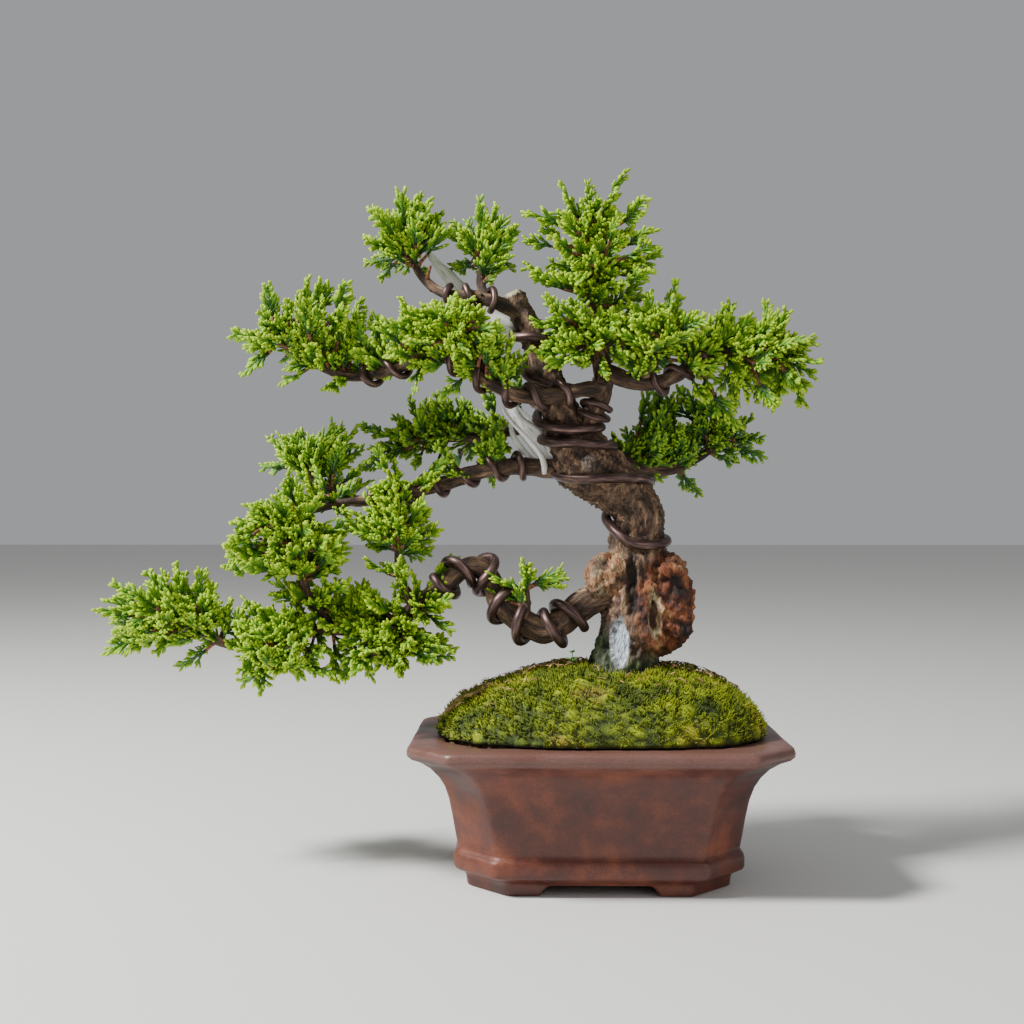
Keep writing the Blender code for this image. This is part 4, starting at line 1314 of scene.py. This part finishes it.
# Deadwood ---------------------------------------------------------------------------------
# Two dead limbs stripped of bark and bleached with lime sulphur: hard, silvery white and
# split along the grain, with thin peels of wood left standing off the lower one.
JIN_UPPER = [
    (-16.0, 3.0, 146.0, 2.9), (-24.0, 7.0, 150.0, 2.8), (-31.0, 9.0, 154.4, 2.7),
    (-37.0, 10.0, 159.4, 2.4), (-42.4, 10.0, 165.6, 1.7), (-47.0, 10.0, 171.4, 0.6),
]
JIN_LOWER = [
    (-6.0, 5.0, 108.0, 3.0), (-13.0, 8.0, 114.5, 3.2), (-19.0, 9.0, 122.4, 2.7),
    (-25.2, 9.0, 130.2, 0.8),
]
PEELS = [
    [(-14.0, 1.0, 109.4, 0.9), (-15.2, -2.4, 114.0, 0.7), (-19.4, -3.2, 119.0, 0.6), (-25.0, -1.4, 125.6, 0.4), (-24.6, 0.4, 129.8, 0.2)],
    [(-11.4, 3.4, 112.6, 0.8), (-14.6, 1.2, 119.6, 0.7), (-20.2, 1.8, 124.0, 0.6), (-22.6, 4.2, 128.6, 0.3)],
    [(-12.6, 4.0, 110.0, 0.9), (-18.2, 4.4, 113.6, 0.8), (-22.8, 5.4, 119.6, 0.6), (-23.6, 6.8, 124.8, 0.3)],
]


def stripped(route, around=18, flat=1.2):
    """A dead limb, flattened a little and grooved along its grain."""
    points, quads, grain = tube(round_end(smooth(route, 0.7), 0.4), around, 0.16, 1.0, flat)
    centres = np.repeat(points.reshape(-1, around, 3).mean(1), around, axis=0)
    groove = [noise.noise(Vector((x * 1.3, y * 1.3, z * 0.06))) for x, y, z in grain]
    deep = 1 - 0.3 * np.abs(np.array(groove))
    return centres + (points - centres) * deep[:, None], quads, grain


# Bleached juniper: bare silver-white wood with fine grey checks, quite matt.
bleached, shader = new_material("bleached deadwood")
grain = add_node(bleached, "Attribute", {"attribute_name": "grain"})
stretch = add_node(bleached, "Mapping", Vector=grain.outputs["Vector"], Scale=(1.0, 1.0, 0.08))
checks = add_node(
    bleached, "TexNoise", Vector=stretch.outputs["Vector"], Scale=1.9, Detail=5.0, Roughness=0.6
)
silver = add_node(
    bleached,
    "ValToRGB",
    Fac=checks.outputs["Fac"],
    stops=((0.3, "#A8A49B"), (0.42, "#E6E3DC"), (0.6, "#FBFAF6")),
)
chalky = add_node(bleached, "MapRange", Value=checks.outputs["Fac"], To_Min=0.9, To_Max=0.6)
bump = add_node(bleached, "Bump", Height=checks.outputs["Fac"], Distance=0.35 * MM)
wire_up(
    bleached,
    shader,
    Base_Color=silver.outputs["Color"],
    Roughness=chalky.outputs["Result"],
    Normal=bump.outputs["Normal"],
)

for name, parts in (
    ("jin_upper", [stripped(JIN_UPPER)]),
    ("jin_lower", [stripped(JIN_LOWER)] + [stripped(peel, 8, 1.5) for peel in PEELS]),
):
    points, quads, grain = joined(parts)
    jin = mesh_object("stripped_" + name, points, quads, [bleached], values={"grain": grain})
    stand_for(jin, name)

# Foliage ----------------------------------------------------------------------------------
# Scale-leaved juniper sprays: thin brown shoots end in fans of blunt cord-like fingers, each
# clad in tiny overlapping scales. New tips are bright yellow-green, older growth blue-green.
FINGER_RADIUS = 0.6
SPRAY_LENGTH = 10.5
SPRAY_KINDS = 24
# Each pad: shoots reaching its edge, and how brightly its sprays are painted as lit; the pads at the back are
# painted as in shade.
PADS = {
    "foliage_left_top": (25, 0.75),
    "foliage_front_top_left": (28, 0.8),
    "foliage_crown_left": (17, 0.8),
    "foliage_crown_middle": (13, 0.75),
    "foliage_apex": (20, 0.85),
    "foliage_back_crown": (14, 0.5),
    "foliage_right_inner": (17, 0.75),
    "foliage_right_outer": (24, 0.8),
    "foliage_back_right": (22, 0.25),
    "foliage_mid_left": (22, 0.35),
    "foliage_left_middle": (16, 0.65),
    "foliage_left_lower": (32, 0.75),
    "foliage_far_left": (28, 0.85),
    "foliage_low_left": (24, 0.75),
    "foliage_low_middle": (24, 0.75),
    "foliage_cascade": (17, 0.8),
    "foliage_front_shoot": (2, 0.8),
}
# Shoots that make the tree's outline or hang in front of its wood, by where each ends.
LEADERS = {
    "foliage_crown_left": [(-50.2, 4, 184.5), (-46.4, 4, 184), (-58, 4, 177), (-62, 6, 168)],
    "foliage_crown_middle": [(-39.6, 6, 178.8), (-32.2, 6, 177.2), (-24.6, 6, 180.4)],
    "foliage_apex": [
        (-1.2, -1, 187.6), (5.6, -1, 173.5), (16.5, -2, 168.8), (-14.1, -14, 154.2),
        (-10.1, -14, 143.7), (-4.9, -15, 137.8), (3, -14, 146.3), (6.9, -14, 139.4),
        (10.9, -13, 151.6), (-12.8, -15, 137.8), (-6.2, -14, 151.6), (0.4, -16, 134.2),
        (-17, -13, 150), (-12, -15, 145), (-16, -12, 141), (-8, -16, 140), (-15.6, -4, 163), (14, 4, 158), (8, -10, 160), (-8, -10, 161), (-16, 6, 152),
    ],
    "foliage_front_top_left": [
        (-20.7, -15, 147.3), (-19.3, -16, 140.4), (-25.9, -15, 133.9), (-30, -14, 150),
        (-40, -14, 131), (-49, -12, 133), (-46, -14, 152), (-36, -16, 154.4),
    ],
    "foliage_left_top": [
        (-99, -2, 145.4), (-90, -2, 155), (-76, -3, 160), (-62, -6, 152), (-60, -4, 145),
        (-95, -4, 138), (-84, -4, 134), (-70, -6, 133),
    ],
    "foliage_right_inner": [(13.5, -12, 155.2), (24, -11, 150), (26.6, -10, 142), (31, -9, 147)],
    "foliage_right_outer": [
        (58.4, -2, 143.4), (52, -3, 149.8), (38, -2, 153.6), (47.7, -4, 127.5), (37, -6, 124),
        (27, -8, 130.5), (33, -6, 150), (55, -2, 134),
    ],
    "foliage_back_right": [
        (46.6, 23, 114.9), (27.9, 23, 106.3), (13.5, 22, 107.7), (36.5, 23, 130.8),
        (16.4, 22, 130.8), (45, 23, 124), (20, 22, 122),
    ],
    "foliage_mid_left": [
        (-66.5, 17, 110.4), (-55, 17, 129.3), (-43.7, 17, 127.5), (-32.4, 17, 130.7),
        (-26.7, 15, 118), (-46.6, 16, 107.7), (-60, 16, 120), (-22, 14, 126),
    ],
    "foliage_cascade": [(-46, -4, 106), (-58, -3, 102), (-64, -4, 94), (-60, -6, 84)],
    "foliage_far_left": [
        (-132.8, 0, 73.6), (-117, 0, 80.6), (-112, -2, 56.8), (-126, -4, 62), (-105, -4, 76),
    ],
    "foliage_left_lower": [
        (-96, -6, 96), (-84, -8, 104.6), (-98.6, -8, 84), (-72, -10, 84), (-70, -8, 96),
        (-88, -10, 76), (-76, -10, 74),
    ],
    "foliage_low_left": [(-96, -8, 66), (-92, -8, 52.6), (-72, -8, 56), (-76, -8, 70)],
    "foliage_low_middle": [(-42, -8, 66), (-45, -8, 73), (-62, -8, 72), (-66, -8, 57)],
    "foliage_left_middle": [(-91, 8, 117), (-70, 8, 120), (-66, 6, 111)],
}
LIMB_SHOOT_EVERY = 4.5
DEADWOOD_CLEAR = 2.4


def finger(base, ahead, length, radius, ages):
    """One four-sided cord of scale leaves: ringed, curving up a little, blunt at its end."""
    shares = np.array((0.0, 0.2, 0.42, 0.64, 0.86, 1.0))
    swell = np.array((0.7, 1.04, 0.84, 1.06, 0.9, 0.38))
    stations = np.empty((6, 4))
    lift = np.array((0.0, 0.0, 0.16))
    stations[:, :3] = base + np.outer(shares, ahead) * length + np.outer(shares**2, lift) * length
    stations[:, 3] = radius * swell
    points, quads, _ = tube(stations, 4)
    age = np.repeat(ages[0] + (ages[1] - ages[0]) * shares, 4)
    return points, quads, age, np.tile((0.0, 0.5, 1.0, 0.5), 6)


def unit(vector):
    return vector / np.linalg.norm(vector)


def spray(rng):
    """A fan of fingers on a curved shoot, growing along +Z and flattened across Y."""
    bend = rng.normal(0, 0.1, 3)
    t = np.linspace(0, 1, 12)
    spine = np.outer(t, (0, 0, 1.0)) * SPRAY_LENGTH + np.outer(t**2, bend) * SPRAY_LENGTH
    thick = FINGER_RADIUS * (1 - 0.2 * t) * np.where(np.arange(12) % 2, 1.06, 0.86)
    thick[-1] *= 0.45
    points, quads, _ = tube(np.column_stack([spine, thick]), 4)
    parts = [(points, quads, np.repeat(0.08 + 0.92 * t**1.3, 4), np.tile((0, 0.5, 1, 0.5), 12))]
    twist = rng.uniform(0, 2 * math.pi)
    for i in range(9):
        share = (i + 0.6) / 9.8
        base = np.array([np.interp(share, t, spine[:, k]) for k in range(3)])
        turn = twist + i * math.pi + rng.normal(0, 0.5)
        out = np.array((math.cos(turn), 0.6 * math.sin(turn), 0.0))
        ahead = unit(unit(out) + np.array((0, 0, rng.uniform(1.0, 1.7))))
        length = (5.4 - 2.9 * share) * rng.uniform(0.8, 1.15)
        old = 0.15 + 0.5 * share
        parts.append(finger(base, ahead, length, FINGER_RADIUS * 0.95, (old, 1.0)))
        for side in (-1, 1):
            if rng.random() < 0.95 - 0.6 * share:
                fork = base + ahead * length * rng.uniform(0.3, 0.6)
                across = unit(np.cross(ahead, (0.2 * side, 1.0, rng.normal(0, 0.5)))) * side
                away = unit(ahead * 1.25 + across * 0.8)
                short = length * rng.uniform(0.4, 0.6)
                parts.append(finger(fork, away, short, FINGER_RADIUS * 0.9, (old + 0.2, 1.0)))
    return joined(parts)


def turned(ahead, across):
    """A matrix whose rows carry a spray's own X, Y and Z to across, the third way and ahead."""
    x = unit(across - across.dot(ahead) * ahead)
    return np.array((x, np.cross(ahead, x), ahead))


def pad_targets(rng, centre, half, count):
    """Points near the pad's surface where its shoots end, spread evenly, few underneath."""
    found = []
    for i in range(count):
        height = 1 - 1.72 * (i + 0.5) / count
        turn = i * 2.39996 + rng.normal(0, 0.2)
        flat = math.sqrt(max(0.0, 1 - height * height))
        out = np.array((math.cos(turn) * flat, math.sin(turn) * flat, height))
        found.append(centre + out * (half - 3.5) * rng.uniform(0.6, 0.92))
    return found


def grow_shoot(start, ahead, target, rng):
    """A curved shoot from a limb to the target, as stations."""
    length = np.linalg.norm(target - start)
    bend = start + ahead * length * 0.3 + np.array((0, 0, 0.06)) * length
    bend = bend + rng.normal(0, 0.07, 3) * length
    t = np.linspace(0, 1, max(4, round(length / 1.3)))[:, None]
    shoot = (1 - t) ** 2 * start + 2 * t * (1 - t) * bend + t**2 * target
    return np.column_stack([shoot, 0.8 - 0.4 * t])


def sprays_on(shoot, rng):
    """Where sprays stand on a shoot: alternately to its left and right, and one at its end."""
    ways = np.gradient(shoot[:, :3], axis=0)
    length = np.linalg.norm(np.diff(shoot[:, :3], axis=0), axis=1).sum()
    found = []
    along, hand = min(2.0, length * 0.25), 1 if rng.random() < 0.5 else -1
    while along < length * 0.93:
        i = int(along / length * (len(shoot) - 1))
        ahead = unit(ways[i])
        across = unit(np.cross(ahead, np.array((0.0, 0.0, 1.0)) + rng.normal(0, 0.5, 3)))
        way = unit(ahead * 0.9 + across * hand * 0.7 + rng.normal(0, 0.2, 3) + (0, 0, 0.28))
        found.append((shoot[i, :3], way, across, rng.uniform(0.6, 0.9)))
        hand = -hand
        along += 3.0 * rng.uniform(0.8, 1.25)
    end = unit(unit(ways[-1]) + np.array((0, 0, 0.25)))
    found.append((shoot[-1, :3], end, rng.normal(0, 1, 3), rng.uniform(0.7, 0.92)))
    return found


def grow_pad(name, count, sunlit, limbs, sprays, rng):
    low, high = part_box(name)
    centre = (np.array(low) + np.array(high)) / 2 / MM - (POT_X / MM, POT_Y / MM, 0.0)
    half = (np.array(high) - np.array(low)) / 2 / MM
    near = (((limbs[:, :3] - centre) / (half * 1.3)) ** 2).sum(1) < 1
    limbs = limbs[near]
    targets = pad_targets(rng, centre, half, count)
    for station in limbs[:: round(LIMB_SHOOT_EVERY)]:
        out = rng.normal(0, 1, 3)
        out = unit(np.array((out[0], out[1], 0.25 + 0.8 * abs(out[2]))))
        targets.append(station[:3] + out * rng.uniform(3.0, 7.0))
    targets += [np.array(tip, float) for tip in LEADERS.get(name, [])]
    pulled = len(targets) - len(LEADERS.get(name, []))
    leaves, wood = [], []
    for i, target in enumerate(targets):
        away = target - limbs[:, :3]
        gap = np.linalg.norm(away, axis=1)
        forward = (away * limbs[:, 4:7]).sum(1) / gap
        foot = np.argmin(gap * (1 - 0.42 * forward))
        if i >= pulled:
            target = target - unit(away[foot]) * min(8.0, gap[foot] * 0.6)
        shoot = grow_shoot(limbs[foot, :3], limbs[foot, 4:7], target, rng)
        wood.append(tube(shoot, 6))
        # Painted light and shade: each shoot's sprays are painted lighter or darker by the pad's setting, and
        # darker low in the pad.
        shade = sunlit + rng.normal(0, 0.1)
        shade *= 0.75 + 0.25 * (target[2] - centre[2] + half[2]) / (2 * half[2])
        leaves += [(*leaf, shade) for leaf in sprays_on(shoot, rng)]
    parts = []
    for base, way, across, size, shade in leaves:
        tip = base + way * size * SPRAY_LENGTH * 0.6
        apart = np.hypot(DEAD[:, 0] - tip[0], DEAD[:, 2] - tip[2]) - DEAD[:, 3]
        if apart.min() < DEADWOOD_CLEAR:
            continue
        points, quads, age, around = sprays[rng.integers(len(sprays))]
        placed = points * size * (1, 1, rng.uniform(0.9, 1.1)) @ turned(way, across) + base
        lit = min(0.97, max(0.03, shade + rng.normal(0, 0.08)))
        parts.append((placed, quads, age, 0.02 + 0.82 * lit + 0.03 * around))
    green = joined(parts)
    brown = joined([(p, q, (g[:, 2] * 0.05) % 1.0, 0.92 + 0.01 * g[:, 0]) for p, q, g in wood])
    points, quads, age, lit = joined([green, brown])
    slots = np.concatenate([np.zeros(len(green[1])), np.ones(len(brown[1]))])
    return points, quads, slots, np.column_stack([age, lit])


def limb_stations():
    """Every station of the live limbs, with the way each runs."""
    rows = []
    routes = list(BRANCHES.values()) + [twig for twigs in TWIGS.values() for twig in twigs]
    for route in routes:
        stations = smooth(route, 1.0)
        ways = np.gradient(stations[:, :3], axis=0)
        ways /= np.linalg.norm(ways, axis=1)[:, None]
        rows.append(np.column_stack([stations, ways]))
    return np.concatenate(rows)


# Scale leaves: blue-green where old, bright yellow-green at the tips; a waxy half-gloss. Lit and
# shaded copies of these greens are mixed by the painted light each spray carries.
leaf, shader = new_material("juniper scale leaves")
# The growth value holds the age along each spray and the spray's painted light.
growth_and_painted_light = add_node(leaf, "Attribute", {"attribute_name": "growth_and_painted_light"})
parts = add_node(leaf, "SeparateXYZ", Vector=growth_and_painted_light.outputs["Vector"])
scales = add_node(
    leaf, "TexNoise", Vector=growth_and_painted_light.outputs["Vector"], Scale=24.0, Detail=3.0, Roughness=0.6
)
sunny = add_node(
    leaf,
    "ValToRGB",
    Fac=parts.outputs["X"],
    stops=((0.08, "#183E08"), (0.38, "#3E7206"), (0.72, "#7CAE00"), (1.0, "#C4E000")),
)
shady = add_node(
    leaf,
    "ValToRGB",
    Fac=parts.outputs["X"],
    stops=((0.08, "#0E2A10"), (0.45, "#1E521A"), (0.8, "#44801A"), (1.0, "#98C020")),
)
mixed = add_node(
    leaf,
    "MixRGB",
    Fac=parts.outputs["Y"],
    Color1=shady.outputs["Color"],
    Color2=sunny.outputs["Color"],
)
edges = add_node(
    leaf, "ValToRGB", Fac=scales.outputs["Fac"], stops=((0.3, "#9AAA70"), (0.62, "#FFFFFF"))
)
scaly = add_node(
    leaf,
    "MixRGB",
    {"blend_type": "MULTIPLY"},
    Fac=0.6,
    Color1=mixed.outputs["Color"],
    Color2=edges.outputs["Color"],
)
waxy = add_node(leaf, "MapRange", Value=scales.outputs["Fac"], To_Min=0.5, To_Max=0.72)
bump = add_node(leaf, "Bump", Height=scales.outputs["Fac"], Distance=0.12 * MM)
wire_up(
    leaf,
    shader,
    Base_Color=scaly.outputs["Color"],
    Roughness=waxy.outputs["Result"],
    Normal=bump.outputs["Normal"],
)

# Shoot wood: thin smooth reddish-brown bark under the sprays.
shoot_bark, shader = new_material("young shoot bark")
growth_and_painted_light = add_node(shoot_bark, "Attribute", {"attribute_name": "growth_and_painted_light"})
mottle = add_node(
    shoot_bark, "TexNoise", Vector=growth_and_painted_light.outputs["Vector"], Scale=30.0, Detail=3.0
)
reddish = add_node(
    shoot_bark,
    "ValToRGB",
    Fac=mottle.outputs["Fac"],
    stops=((0.35, "#4A2A1C"), (0.65, "#8A5A3C")),
)
matt = add_node(shoot_bark, "MapRange", Value=mottle.outputs["Fac"], To_Min=0.65, To_Max=0.9)
bump = add_node(shoot_bark, "Bump", Height=mottle.outputs["Fac"], Distance=0.1 * MM)
wire_up(
    shoot_bark,
    shader,
    Base_Color=reddish.outputs["Color"],
    Roughness=matt.outputs["Result"],
    Normal=bump.outputs["Normal"],
)

rng = np.random.default_rng(11)
sprays = [spray(rng) for _ in range(SPRAY_KINDS)]
limbs = limb_stations()
DEAD = np.concatenate([smooth(JIN_UPPER, 1.0)[8:], smooth(JIN_LOWER, 1.0)])
for name, (count, sunlit) in PADS.items():
    points, quads, slots, growth_and_painted_light = grow_pad(name, count, sunlit, limbs, sprays, rng)
    vectors = np.column_stack([growth_and_painted_light, np.zeros(len(growth_and_painted_light))])
    pad = mesh_object(
        name.replace("foliage", "sprays"),
        points,
        quads,
        [leaf, shoot_bark],
        slots,
        {"growth_and_painted_light": vectors},
        growth_and_painted_light,
    )
    stand_for(pad, name)
